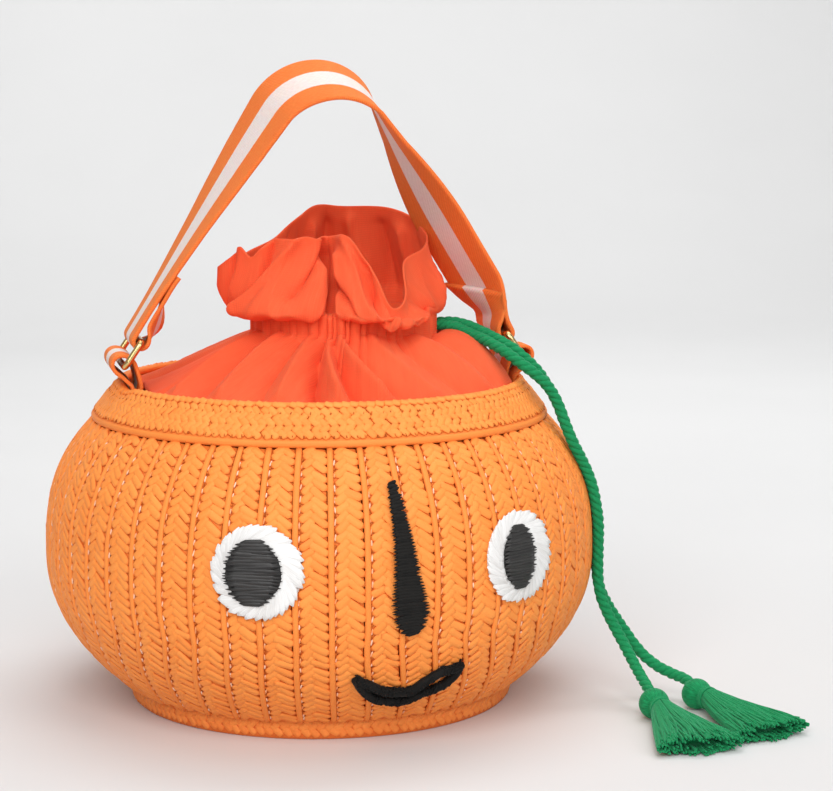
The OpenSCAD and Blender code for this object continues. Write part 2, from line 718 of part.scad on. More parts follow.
module nose() {
    length = nose_top_z - nose_bottom_z;
    function half(share) = share < 0.2
        ? nose_half * sqrt(1 - pow(1 - (share + 0.02) / 0.22, 2))
        : mix(nose_half, nose_tip_half, pow((share - 0.2) / 0.8, 0.8));
    color("#1C1A1A")
        skin([for (k = [0 : nose_steps])
            let (share = k / nose_steps, up = share * length, aside = nose_lean * (0.5 - share))
            wool_section(ahead_angle + 1, nose_bottom_z, [aside + half(share), up], [aside - half(share), up])]);
}

// The mouth is a crescent with upturned ends
mouth_steps = 14;
mouth_low_z = 21;
mouth_tip_z = 36;
mouth_depth = 8.5;

module mouth() {
    color("#1C1A1A")
        skin([for (k = [0 : mouth_steps])
            let (side = 2 * k / mouth_steps - 1,
                 low = mix(mouth_low_z, mouth_tip_z, side * side),
                 depth = mouth_depth * (1 - side * side) + 1.6)
            wool_section(ahead_angle + 2 + side * mouth_half, low, [0, 0], [0, depth])]);
}

side_plaits_right_rear();
side_plaits_left_rear();
side_plaits_left_front();
side_plaits_right_front();
rim_band();
foot_band();
base_disc();
lining();
cloth_cover();
neck_casing();
frill();
drawstring_loop();
drawstring_front();
drawstring_rear();
tassel_head_front();
tassel_binding_front();
tassel_skirt_front();
tassel_head_rear();
tassel_binding_rear();
tassel_skirt_rear();
handle_strap();
ring_left();
ring_right();
tab_left();
tab_right();
eye_white_left();
eye_pupil_left();
eye_white_right();
eye_pupil_right();
nose();
mouth();
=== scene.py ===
# %% [markdown]
# # A wicker trick-or-treat bag
# The real bag is a round basket of dyed straw plaits with a stitched face, a gathered cotton top with a
# green drawstring, and a striped webbing handle on two wire rings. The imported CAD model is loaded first
# and stays fixed. Every piece below is made in millimetres in the same frame and turned into metres once,
# when its mesh is built, so that each one lands where its solid is.

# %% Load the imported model
import math

import bpy
import numpy as np
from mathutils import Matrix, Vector


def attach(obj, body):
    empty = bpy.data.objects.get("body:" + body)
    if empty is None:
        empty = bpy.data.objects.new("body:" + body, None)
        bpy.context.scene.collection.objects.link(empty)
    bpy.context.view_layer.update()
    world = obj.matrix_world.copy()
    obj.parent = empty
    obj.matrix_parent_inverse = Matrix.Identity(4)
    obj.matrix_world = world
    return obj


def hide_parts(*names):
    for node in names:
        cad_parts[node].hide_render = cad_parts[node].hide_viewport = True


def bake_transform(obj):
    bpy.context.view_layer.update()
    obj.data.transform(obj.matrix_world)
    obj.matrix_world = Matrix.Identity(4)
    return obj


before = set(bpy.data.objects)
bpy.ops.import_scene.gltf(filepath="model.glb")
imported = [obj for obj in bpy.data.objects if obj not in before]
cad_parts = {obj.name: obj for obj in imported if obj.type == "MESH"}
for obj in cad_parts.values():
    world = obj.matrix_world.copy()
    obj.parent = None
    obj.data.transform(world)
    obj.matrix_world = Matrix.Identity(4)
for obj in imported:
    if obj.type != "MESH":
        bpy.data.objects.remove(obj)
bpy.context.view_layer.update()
MM = 0.001

# %% [markdown]
# ## Camera
# The photograph looks slightly down at the bag from a little left of its face, through a long lens. A long
# lens keeps the basket's sides nearly parallel, so the place and the lens are set together.

# %% Camera
def in_scene(name, data):
    thing = bpy.data.objects.new(name, data)
    bpy.context.scene.collection.objects.link(thing)
    return thing


camera = in_scene("camera", bpy.data.cameras.new("camera"))
camera.location = (-0.1783, -1.0114, 0.276)
camera.rotation_euler = (math.radians(82.32), 0, math.radians(-12.475))
camera.data.sensor_width = 36
camera.data.lens = 97.2
bpy.context.scene.camera = camera
print("camera at", tuple(round(x, 3) for x in camera.location))

# %% [markdown]
# ## Mesh helpers
# Straw, cloth, cord and webbing are all long things with a cross section. One helper skins a row of
# outlines and gives the skin a UV map in millimetres along and around it, so that fibres and weaves can
# follow the surface. Another joins plain meshes into one piece.

# %% Skin a row of outlines
def skin(rings, ring_closed=True, path_closed=False, caps=True):
    rings = np.asarray(rings, float)
    count, side = rings.shape[:2]
    down = count if path_closed else count - 1
    across = side if ring_closed else side - 1
    k, j = np.meshgrid(np.arange(down), np.arange(across), indexing="ij")
    k2, j2 = (k + 1) % count, (j + 1) % side
    faces = np.stack([k * side + j, k * side + j2, k2 * side + j2, k2 * side + j], -1).reshape(-1, 4)
    wrapped = np.concatenate([rings, rings[:, :1]], 1)
    around = np.concatenate([[0], np.cumsum(np.linalg.norm(np.diff(wrapped, axis=1), axis=2).mean(0))])
    looped = np.concatenate([rings, rings[:1]], 0)
    along = np.concatenate([[0], np.cumsum(np.linalg.norm(np.diff(looped, axis=0), axis=2).mean(1))])
    corners = ((0, 0), (0, 1), (1, 1), (1, 0))
    uv = np.stack([np.stack([along[k + dk], around[j + dj]], -1) for dk, dj in corners], 2).reshape(-1, 2)
    polygons = faces.tolist()
    if caps and ring_closed and not path_closed:
        polygons.append(list(range(side))[::-1])
        polygons.append([(count - 1) * side + i for i in range(side)])
        uv = np.concatenate([uv, np.zeros((2 * side, 2))])
    return rings.reshape(-1, 3), polygons, uv


# %% Turn points and faces into a piece
def make_piece(name, points, faces, uv, material=None, values=None):
    mesh = bpy.data.meshes.new(name)
    mesh.from_pydata((np.asarray(points, float) * MM).tolist(), [], faces)
    layer = mesh.uv_layers.new(name="UVMap")
    layer.data.foreach_set("uv", np.asarray(uv, np.float32).ravel())
    for label, numbers in (values or {}).items():
        held = mesh.attributes.new(label, "FLOAT", "POINT")
        held.data.foreach_set("value", np.asarray(numbers, np.float32))
    mesh.validate()
    mesh.shade_smooth()
    if material is not None:
        mesh.materials.append(material)
    return in_scene(name, mesh)


def join(name, pieces):
    with bpy.context.temp_override(active_object=pieces[0], selected_editable_objects=pieces):
        bpy.ops.object.join()
    pieces[0].name = name
    return pieces[0]


def triangles(piece):
    return sum(len(p.vertices) - 2 for p in piece.data.polygons)


# %% [markdown]
# ## Node tree helpers
# Grains, stitches and strands repeat hundreds of times, so Geometry Nodes place them. These helpers start
# a tree with named sizes, add linked nodes, and turn the grown result into a plain mesh.

# %% Start a tree, add a node, grow a piece
def start_tree(name, sizes):
    tree = bpy.data.node_groups.new(name, "GeometryNodeTree")
    tree.interface.new_socket("Geometry", in_out="INPUT", socket_type="NodeSocketGeometry")
    for label, kind, value in sizes:
        socket = tree.interface.new_socket(label, in_out="INPUT", socket_type="NodeSocket" + kind)
        if value is not None:
            socket.default_value = value
    tree.interface.new_socket("Geometry", in_out="OUTPUT", socket_type="NodeSocketGeometry")
    return tree, tree.nodes.new("NodeGroupInput").outputs


def add(tree, kind, inputs=None, **settings):
    node = tree.nodes.new(kind)
    for key, value in settings.items():
        setattr(node, key, value)
    for key, value in (inputs or {}).items():
        if isinstance(value, bpy.types.NodeSocket):
            tree.links.new(value, node.inputs[key])
        else:
            node.inputs[key].default_value = value
    return node


def maths(tree, operation, *values):
    return add(tree, "ShaderNodeMath", dict(enumerate(values)), operation=operation).outputs[0]


def end_tree(tree, geometry, finish):
    real = add(tree, "GeometryNodeRealizeInstances", {"Geometry": geometry})
    soft = add(tree, "GeometryNodeSetShadeSmooth", {"Geometry": real.outputs["Geometry"]})
    dressed = add(tree, "GeometryNodeSetMaterial", {"Geometry": soft.outputs["Geometry"], "Material": finish})
    out = tree.nodes.new("NodeGroupOutput")
    tree.links.new(dressed.outputs["Geometry"], out.inputs["Geometry"])


def as_plain_mesh(piece):
    bpy.context.view_layer.update()
    seen = piece.evaluated_get(bpy.context.evaluated_depsgraph_get())
    mesh = bpy.data.meshes.new_from_object(seen)
    piece.modifiers.clear()
    piece.data = mesh
    return piece


def grow(piece, tree, sizes):
    modifier = piece.modifiers.new(tree.name, "NODES")
    modifier.node_group = tree
    for item in tree.interface.items_tree:
        if item.in_out == "INPUT" and item.name in sizes:
            modifier[item.identifier] = sizes[item.name]
    return as_plain_mesh(piece)


# %% [markdown]
# ## Finishes
# Each finish is a node material with colour that varies, and roughness and bump at the size of the real
# straw, thread or weave. One helper starts a Principled material. The others add noise, sums, ramps, mixes
# and bumps to its tree, so that each finish below reads as a short recipe.

# %% Material helper
def start_material(name, **sockets):
    material = bpy.data.materials.new(name)
    material.use_nodes = True
    tree = material.node_tree
    shader = tree.nodes["Principled BSDF"]
    for key, value in sockets.items():
        shader.inputs[key.replace("_", " ")].default_value = value
    return material, tree, shader


def noise(tree, vector, scale, detail=2.0, **more):
    inputs = {"Vector": vector, "Scale": scale, "Detail": detail, **more}
    return add(tree, "ShaderNodeTexNoise", inputs).outputs["Fac"]


def kept_number(tree, name):
    return add(tree, "ShaderNodeAttribute", attribute_name=name).outputs["Fac"]


def ramp(tree, fac, stops):
    node = add(tree, "ShaderNodeValToRGB", {"Fac": fac})
    while len(node.color_ramp.elements) < len(stops):
        node.color_ramp.elements.new(0.5)
    for element, (place, colour) in zip(node.color_ramp.elements, stops):
        element.position = place
        element.color = (*colour, 1)
    return node.outputs["Color"]


def stretched(tree, source, scale):
    return add(tree, "ShaderNodeMapping", {"Vector": source, "Scale": scale}).outputs["Vector"]


def bump(tree, shader, height, strength, distance):
    node = add(tree, "ShaderNodeBump", {"Height": height, "Strength": strength, "Distance": distance})
    tree.links.new(node.outputs["Normal"], shader.inputs["Normal"])


def roughness_between(tree, shader, fac, low, high):
    node = add(tree, "ShaderNodeMapRange", {"Value": fac, "To Min": low, "To Max": high})
    tree.links.new(node.outputs["Result"], shader.inputs["Roughness"])


def mixed(tree, fac, first, second, kind="MIX"):
    node = add(tree, "ShaderNodeMix", data_type="RGBA", blend_type=kind)
    for key, value in ((0, fac), (6, first), (7, second)):
        if isinstance(value, bpy.types.NodeSocket):
            tree.links.new(value, node.inputs[key])
        else:
            node.inputs[key].default_value = value if key == 0 else (*value, 1)
    return node.outputs[2]


def mottled(name, scale, detail, stops, **sockets):
    material, tree, shader = start_material(name, **sockets)
    mottle = noise(tree, add(tree, "ShaderNodeTexCoord").outputs["Object"], scale, detail)
    tree.links.new(ramp(tree, mottle, stops), shader.inputs["Base Color"])
    return material, tree, shader, mottle


# %% [markdown]
# The straw is dyed paper or raffia: soft sheen and fine streaks along each strand. The darkening in the
# creases
# is painted shade: a number kept on the mesh says how far a point lies in a crease, and the colour is
# darkened there by that much. Another number, called shade, gives each grain its own tone.

# %% Dyed straw
def straw_finish(name, light, middle, dark):
    material, tree, shader = start_material(name, Roughness=0.62, Specular_IOR_Level=0.3)
    place = add(tree, "ShaderNodeTexCoord").outputs
    streak = noise(tree, stretched(tree, place["UV"], (0.09, 2.6, 1)), 1.0, 3.0, Roughness=0.6)
    cloud = noise(tree, place["Object"], 55.0)
    tone = maths(tree, "ADD", streak, kept_number(tree, "shade"))
    colour = ramp(tree, tone, [(0.3, dark), (0.62, middle), (1.0, light)])
    warm = mixed(tree, 0.35, colour, ramp(tree, cloud, [(0.3, middle), (0.7, light)]))
    # painted shade: the straw is darkened towards this colour by the number kept on the mesh, in creases and
    # under grains
    crease_shade_colour = tuple(x * s for x, s in zip(dark, (0.8, 0.6, 0.5)))
    tree.links.new(mixed(tree, kept_number(tree, "painted_shade"), warm, crease_shade_colour), shader.inputs["Base Color"])
    roughness_between(tree, shader, streak, 0.5, 0.72)
    bump(tree, shader, streak, 0.35, 0.0004)
    return material


straw = straw_finish("orange_straw", (0.98, 0.33, 0.065), (0.95, 0.285, 0.05), (0.88, 0.22, 0.032))
foot_straw = straw_finish("foot_straw", (0.96, 0.3, 0.06), (0.92, 0.25, 0.045), (0.84, 0.19, 0.03))
print("straw finishes made")

# %% [markdown]
# The cotton of the top is a plain weave. Two sets of fine waves across each other, read from the cloth's
# own UV map, give the threads, and slow noise keeps the dye from looking printed.

# %% Orange cotton
def cotton_finish(name, light, dark, thread):
    material, tree, shader = start_material(name, Roughness=0.85, Specular_IOR_Level=0.15, Sheen_Weight=0.08,
                                            Sheen_Roughness=0.5, Sheen_Tint=(1.0, 0.5, 0.3, 1),
                                            Subsurface_Weight=0.35, Subsurface_Radius=(1.0, 0.35, 0.2),
                                            Subsurface_Scale=0.0018)
    place = add(tree, "ShaderNodeTexCoord").outputs
    waves = [add(tree, "ShaderNodeTexWave", {"Vector": place["UV"], "Scale": thread, "Distortion": 0.6},
                 bands_direction=way).outputs["Fac"] for way in ("X", "Y")]
    weave = maths(tree, "MULTIPLY", *waves)
    cloud = noise(tree, place["Object"], 40.0, 4.0)
    slub = noise(tree, stretched(tree, place["UV"], (0.05, 1.6, 1)), 1.0)
    colour = ramp(tree, maths(tree, "MULTIPLY", cloud, slub), [(0.1, dark), (0.45, light)])
    tree.links.new(mixed(tree, 0.12, colour, weave, "MULTIPLY"), shader.inputs["Base Color"])
    bump(tree, shader, weave, 0.25, 0.0002)
    return material


cotton = cotton_finish("orange_cotton", (0.98, 0.15, 0.055), (0.92, 0.115, 0.042), 0.35)
lining_cotton = cotton_finish("lining_cotton", (0.9, 0.16, 0.06), (0.8, 0.11, 0.04), 0.35)

# %% [markdown]
# The cord and tassels are twisted cotton yarn. Streaks run along the strands, with darker gaps between
# the yarns and a soft fuzz of sheen.

# %% Green cord
def yarn_finish(name, light, dark, across, sheen):
    material, tree, shader = start_material(name, Roughness=0.8, Specular_IOR_Level=0.2, Sheen_Weight=0.3,
                                            Sheen_Roughness=0.45, Sheen_Tint=(*sheen, 1))
    place = add(tree, "ShaderNodeTexCoord").outputs
    yarn = noise(tree, stretched(tree, place["UV"], (0.25, across, 1)), 1.0)
    fleck = noise(tree, place["Object"], 900.0)
    tone = maths(tree, "MULTIPLY_ADD", fleck, 0.35, maths(tree, "ADD", yarn, kept_number(tree, "shade")))
    tree.links.new(ramp(tree, tone, [(0.45, dark), (0.95, light)]), shader.inputs["Base Color"])
    bump(tree, shader, yarn, 0.6, 0.0006)
    return material


green_yarn = yarn_finish("green_yarn", (0.012, 0.36, 0.125), (0.004, 0.15, 0.05), 2.2, (0.3, 0.9, 0.6))
black_wool = yarn_finish("black_wool", (0.012, 0.011, 0.01), (0.004, 0.004, 0.004), 1.6, (0.1, 0.1, 0.1))
print("cotton and yarn finishes made")

# %% [markdown]
# ## Drawstring
# Two ends of one twisted cotton cord come out of the neck, lie over the rim, hang down the belly and run
# out on the table to their tassels. The routes are the CAD's own points, smoothed, and where the cords hang
# they are shifted a little round the wall and towards it, as the photo shows. Each cord is three strands laid
# round each other: a node tree offsets the route by a turning angle for each strand and sweeps a small
# circle along it, which gives the real rope's lay instead of a painted spiral.

# %% Routes of the two cord ends
front_route = np.array([
    [52.5, -10, 170.5], [57.5, -11, 170], [62, -14, 169], [65.5, -19, 167], [69.5, -25, 165.5],
    [73, -31, 163.5], [76, -35.5, 161.5], [79, -38.5, 159.5], [84.5, -42, 155], [90, -43.5, 151],
    [94.5, -43.5, 147], [98.5, -43.5, 142], [101.5, -43, 137], [106, -43, 128], [110.5, -43.5, 119.5],
    [116, -41, 110], [120, -42, 100.5], [122, -41.5, 91.5], [123.5, -41.5, 82], [123.5, -41, 72.5],
    [123.5, -41, 63.5], [123.5, -41.5, 54], [125, -44, 45], [127, -48, 36.5], [129.5, -53.5, 28.5],
    [132.5, -60, 20.5], [134, -66.5, 15.5], [135, -73.5, 12], [135, -79, 10]])
rear_route = np.array([
    [53.5, -3.5, 170.5], [59.5, -5.5, 171], [65, -9.5, 170.5], [70, -16, 168.5], [74, -22, 166.5],
    [77.5, -28, 164.5], [80.5, -32.5, 162.5], [83.5, -35.5, 160.5], [88.5, -37.5, 156],
    [93, -38.5, 151.5], [96, -38.5, 147], [99.5, -38, 142], [102.5, -37.5, 137], [107, -37.5, 128],
    [111.5, -38, 119.5], [117, -35.5, 110], [121, -36.5, 100.5], [123, -36, 91.5], [124, -36, 82],
    [124.5, -35.5, 72.5], [124.5, -35.5, 63.5], [124.5, -36, 54], [127.5, -37.5, 45], [131.5, -39, 36],
    [137, -42.5, 26], [142.5, -46.5, 18.5], [149, -51, 13.5], [155, -55.5, 11], [158.5, -61, 10],
    [159, -67, 8.5]])
# heights between which the cords hang, and their shift there in degrees round the wall and towards it
HANG_LOW, HANG_HIGH, HANG_EASE = 26, 142, 26
HANG_TURN, HANG_IN = -2.6, 1.5


def spline_point(a, b, c, d, t):
    return 0.5 * (2 * b + (c - a) * t + (2 * a - 5 * b + 4 * c - d) * t ** 2
                  + (3 * b - a - 3 * c + d) * t ** 3)


def eased_line(points, steps):
    points = np.asarray(points, float)
    padded = np.concatenate([[2 * points[0] - points[1]], points, [2 * points[-1] - points[-2]]])
    shares = np.arange(steps) / steps
    line = [spline_point(*padded[i:i + 4], t) for i in range(len(points) - 1) for t in shares]
    return np.array(line + [points[-1]])


def line_length(line):
    return float(np.linalg.norm(np.diff(line, axis=0), axis=1).sum())


def smoothed(line, rounds):
    line = np.array(line, float)
    for _ in range(rounds):
        line[1:-1] = 0.5 * line[1:-1] + 0.25 * (line[:-2] + line[2:])
    return line


def ease(x):
    x = np.clip(x, 0, 1)
    return x * x * (3 - 2 * x)


def against_wall(line):
    x, y, z = line.T
    share = ease((z - HANG_LOW) / HANG_EASE) * ease((HANG_HIGH - z) / HANG_EASE)
    turn = np.radians(HANG_TURN) * share
    scale = 1 - HANG_IN * share / np.hypot(x, y)
    return np.stack([scale * (x * np.cos(turn) - y * np.sin(turn)),
                     scale * (x * np.sin(turn) + y * np.cos(turn)), z], 1)


front_line = against_wall(smoothed(eased_line(front_route, 6), 12))
rear_line = against_wall(smoothed(eased_line(rear_route, 6), 12))
print("cord lengths", round(line_length(front_line)), round(line_length(rear_line)), "mm")

# %% Tree that lays three strands along a route
STRANDS = 3
strand_tree, given = start_tree("laid_strands", [
    ("Strand radius", "Float", 0.0015), ("Offset", "Float", 0.0012), ("Lay", "Float", 0.0105),
    ("Step", "Float", 0.0008), ("Yarn", "Material", None)])
route = add(strand_tree, "GeometryNodeMeshToCurve", {"Mesh": given["Geometry"]}).outputs["Curve"]
even = add(strand_tree, "GeometryNodeResampleCurve", {"Curve": route, "Length": given["Step"]}, mode="LENGTH")
level = add(strand_tree, "GeometryNodeSetCurveNormal", {"Curve": even.outputs["Curve"]}, mode="MINIMUM_TWIST")
along = add(strand_tree, "GeometryNodeSplineParameter").outputs["Length"]
turns = maths(strand_tree, "DIVIDE", along, given["Lay"])
joined = add(strand_tree, "GeometryNodeJoinGeometry")
profile = add(strand_tree, "GeometryNodeCurvePrimitiveCircle",
              {"Resolution": 7, "Radius": given["Strand radius"]})
for strand in range(STRANDS):
    angle = maths(strand_tree, "MULTIPLY_ADD", turns, -math.tau, math.tau * strand / STRANDS)
    arm = add(strand_tree, "ShaderNodeVectorRotate", {
        "Vector": add(strand_tree, "GeometryNodeInputNormal").outputs["Normal"],
        "Axis": add(strand_tree, "GeometryNodeInputTangent").outputs["Tangent"], "Angle": angle})
    shift = add(strand_tree, "ShaderNodeVectorMath", {0: arm.outputs["Vector"], "Scale": given["Offset"]},
                operation="SCALE")
    laid = add(strand_tree, "GeometryNodeSetPosition", {"Geometry": level.outputs["Curve"],
                                                        "Offset": shift.outputs["Vector"]})
    tube = add(strand_tree, "GeometryNodeCurveToMesh", {
        "Curve": laid.outputs["Geometry"], "Profile Curve": profile.outputs["Curve"], "Fill Caps": True})
    strand_tree.links.new(tube.outputs["Mesh"], joined.inputs["Geometry"])
end_tree(strand_tree, joined.outputs["Geometry"], given["Yarn"])


# %% Make the two cord ends
def edge_piece(name, lines):
    points, edges, start = [], [], 0
    for line in lines:
        points.extend((np.asarray(line) * MM).tolist())
        edges.extend((start + i, start + i + 1) for i in range(len(line) - 1))
        start += len(line)
    mesh = bpy.data.meshes.new(name)
    mesh.from_pydata(points, edges, [])
    return in_scene(name, mesh)


def cord_piece(name, line):
    return grow(edge_piece(name, [line]), strand_tree, {"Yarn": green_yarn})


NECK = np.array([12.0, 2.0])
CORD_LOOP_R, CORD_LOOP_Z = 38.5, 170.5


def ring_at(angle, r, z):
    a = np.radians(angle)
    return np.stack([NECK[0] + r * np.cos(a), NECK[1] + r * np.sin(a), z + 0 * a], -1)


cord_front = cord_piece("cord_front", front_line)
cord_rear = cord_piece("cord_rear", rear_line)
cord_loop = cord_piece("cord_in_tunnel", ring_at(np.linspace(0, 336, 120), CORD_LOOP_R, CORD_LOOP_Z))
print("cord triangles", triangles(cord_front), triangles(cord_rear), triangles(cord_loop))

# %% [markdown]
# ## Tassels
# Each cord end goes into a tassel: a head of yarn tied into a ball, a tight binding, and a skirt of cut
# threads that fans out flat on the table. The threads are single lines from the binding to a ragged end,
# and a node tree sweeps each one into a thin yarn. A fluted core under them keeps the skirt full.

# %% Tree that sweeps every line into a yarn
yarn_tree, given = start_tree("swept_yarn", [
    ("Radius", "Float", 0.00045), ("Sides", "Int", 5), ("Step count", "Int", 12), ("Yarn", "Material", None)])
lines = add(yarn_tree, "GeometryNodeMeshToCurve", {"Mesh": given["Geometry"]})
shaped = add(yarn_tree, "GeometryNodeCurveSplineType", {"Curve": lines.outputs["Curve"]},
             spline_type="CATMULL_ROM")
even = add(yarn_tree, "GeometryNodeResampleCurve",
           {"Curve": shaped.outputs["Curve"], "Count": given["Step count"]})
profile = add(yarn_tree, "GeometryNodeCurvePrimitiveCircle",
              {"Resolution": given["Sides"], "Radius": given["Radius"]})
swept = add(yarn_tree, "GeometryNodeCurveToMesh", {
    "Curve": even.outputs["Curve"], "Profile Curve": profile.outputs["Curve"], "Fill Caps": True})
end_tree(yarn_tree, swept.outputs["Mesh"], given["Yarn"])

# %% Sizes of a tassel, as the solids have them
HEAD_R, BIND_R, SKIRT_R = 6.8, 4.85, 4.6
TASSEL_Z, HEM_Z, HEM_HALF_H, HEM_HALF_W = 7.1, 4.4, 3.8, 19.0
BIND_X, SKIRT_X, SKIRT_L = 7.1, 10.4, 47.0
THREADS, THREAD_STOPS = 620, 6


def lay(points, at):
    turn = math.radians(at[2])
    x, y, z = np.moveaxis(np.asarray(points, float), -1, 0)
    return np.stack([at[0] + x * math.cos(turn) - y * math.sin(turn),
                     at[1] + x * math.sin(turn) + y * math.cos(turn), z], -1)


def skirt_point(share, angle, depth):
    half_w = SKIRT_R + (HEM_HALF_W - SKIRT_R) * share ** 0.9
    half_h = SKIRT_R + (HEM_HALF_H - SKIRT_R) * share + 2 * share * (1 - share)
    low = np.minimum(1, 3 * share)
    middle = TASSEL_Z + (HEM_Z - TASSEL_Z) * low + np.maximum(0, half_h - HEM_HALF_H) * low
    reach = SKIRT_X + share * (SKIRT_L + 3 * np.cos(angle) ** 2 - 6 * np.abs(np.cos(angle)))
    return np.stack([reach, half_w * depth * np.cos(angle), middle + half_h * depth * np.sin(angle)], -1)


# %% Skirt threads, head and binding of one tassel
def tassel_skirt(name, at, seed):
    rng = np.random.default_rng(seed)
    threads = []
    for _ in range(THREADS):
        angle = rng.uniform(0, math.tau)
        depth = 1 - 0.5 * rng.random() ** 2.2
        share = np.linspace(0, rng.uniform(0.9, 1.06), THREAD_STOPS)
        sway = np.cumsum(rng.normal(0, 0.045, THREAD_STOPS)) * share
        line = skirt_point(share, angle + sway, depth)
        line[:, 2] = np.maximum(line[:, 2] + rng.normal(0, 0.35, THREAD_STOPS) * share, 0.6)
        threads.append(lay(line, at))
    fringe = grow(edge_piece(name, threads), yarn_tree, {"Yarn": green_yarn, "Radius": 0.00048})
    share, angle = np.meshgrid(np.linspace(0, 0.9, 14), np.arange(48) * math.tau / 48, indexing="ij")
    core = skin(lay(skirt_point(share, angle, 0.8 + 0.04 * np.cos(24 * angle)), at))
    return join(name, [fringe, make_piece(name + "_core", *core, material=green_yarn)])


def turned(profile, sides, at, flutes, depth):
    profile = np.asarray(profile, float)
    angle = np.arange(sides) * math.tau / sides
    r = profile[:, :1] + depth * np.sin(flutes * angle)[None] * np.minimum(1, profile[:, :1] / 3)
    along = np.repeat(profile[:, 1:], sides, 1)
    return lay(np.stack([along, r * np.cos(angle), TASSEL_Z + r * np.sin(angle)], -1), at)


def tassel_head(name, at):
    a = np.radians(np.linspace(-88, 48, 26))
    profile = np.stack([HEAD_R * np.cos(a), HEAD_R * np.sin(a)], 1).tolist() + [[4.5, 6.0], [4.4, 7.0]]
    return make_piece(name, *skin(turned(profile, 144, at, 48, 0.13)), material=green_yarn)


def tassel_binding(name, at):
    turn = np.linspace(0, 4 * math.tau, 200)
    along = BIND_X + 0.35 + 2.3 * turn / turn[-1]
    coil = np.stack([along, BIND_R * np.cos(turn), TASSEL_Z + BIND_R * np.sin(turn)], 1)
    return grow(edge_piece(name, [lay(coil, at)]), yarn_tree,
                {"Yarn": green_yarn, "Radius": 0.00045, "Step count": 200, "Sides": 7})


cords = []
for side, at, seed in (("front", (134.5, -86, -88), 3), ("rear", (158.5, -74.5, -74), 8)):
    parts = [tassel_head(f"tassel_{side}_head", at), tassel_binding(f"tassel_{side}_binding", at),
             tassel_skirt(f"tassel_{side}_skirt", at, seed)]
    for part, node in zip(parts, ("head", "binding", "skirt")):
        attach(part, "bag")
        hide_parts(f"tassel_{node}_{side}")
    cords.append(parts)
    print("tassel", side, [triangles(p) for p in parts])
for piece, line, parts, node in ((cord_front, front_line, cords[0], "drawstring_front"),
                                 (cord_rear, rear_line, cords[1], "drawstring_rear")):
    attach(piece, "bag")
    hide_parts(node)
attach(cord_loop, "bag")
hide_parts("drawstring_loop")

# %% [markdown]
# ## Shapes set in rows
# A plaited straw wall is thousands of short grains, and a stitched face is hundreds of strips. Each kind is
# one small mesh. Plain points carry where each one goes, which way it turns and its size, and one node tree
# sets a shape on every point with a small random tilt and a tone of its own.

# %% Tree that sets a shape on every point
row_tree, given = start_tree("shapes_in_rows", [
    ("Shape", "Object", None), ("Seed", "Int", 1), ("Tilt", "Float", 0.06), ("Shade", "Float", 0.5),
    ("Finish", "Material", None)])
shape = add(row_tree, "GeometryNodeObjectInfo", {"Object": given["Shape"]}).outputs["Geometry"]
turn, size = (add(row_tree, "GeometryNodeInputNamedAttribute", {"Name": label},
                  data_type="FLOAT_VECTOR").outputs["Attribute"] for label in ("turn", "size"))
sway = add(row_tree, "FunctionNodeRandomValue",
           {"Min": (-1, -1, -1), "Max": (1, 1, 1), "Seed": given["Seed"]}, data_type="FLOAT_VECTOR")
tilt = add(row_tree, "ShaderNodeVectorMath", {0: sway.outputs["Value"], "Scale": given["Tilt"]},
           operation="SCALE")
facing = add(row_tree, "ShaderNodeVectorMath", {0: turn, 1: tilt.outputs["Vector"]})
placed = add(row_tree, "GeometryNodeInstanceOnPoints", {
    "Points": given["Geometry"], "Instance": shape, "Rotation": facing.outputs["Vector"], "Scale": size})
tone = add(row_tree, "FunctionNodeRandomValue", {2: 0.0, 3: given["Shade"], "Seed": given["Seed"]},
           data_type="FLOAT")
kept = add(row_tree, "GeometryNodeStoreNamedAttribute", {
    "Geometry": placed.outputs["Instances"], "Name": "shade", "Value": tone.outputs[1]}, domain="INSTANCE")
end_tree(row_tree, kept.outputs["Geometry"], given["Finish"])


# %% Make the small shapes and set them
def lens(name, length, rings, sides, blunt, flat):
    share = np.linspace(-1, 1, rings)
    reach = np.maximum(0.12, (1 - np.abs(share) ** blunt) ** 0.5)[:, None]
    angle = np.arange(sides) * math.tau / sides
    width = np.sign(np.cos(angle)) * np.abs(np.cos(angle)) ** flat
    height = np.sign(np.sin(angle)) * np.abs(np.sin(angle)) ** flat
    outlines = np.stack([np.repeat(share[:, None], sides, 1), reach * width, reach * height], -1)
    points, faces, uv = skin(outlines)
    # painted shade: each shape is darker on its lower side, where it tucks under its neighbours
    painted_shade = 1 - np.clip((points[:, 2] + 0.05) / 0.7, 0, 1)
    return make_piece(name, points / MM * 0.5, faces, uv * (length / 2, 1.6), values={"painted_shade": painted_shade})


grain = lens("grain", 8, 8, 8, 6.0, 0.7)
strip = lens("strip", 14, 6, 8, 10.0, 0.6)
stitch = lens("stitch", 4, 6, 6, 4.0, 1.0)


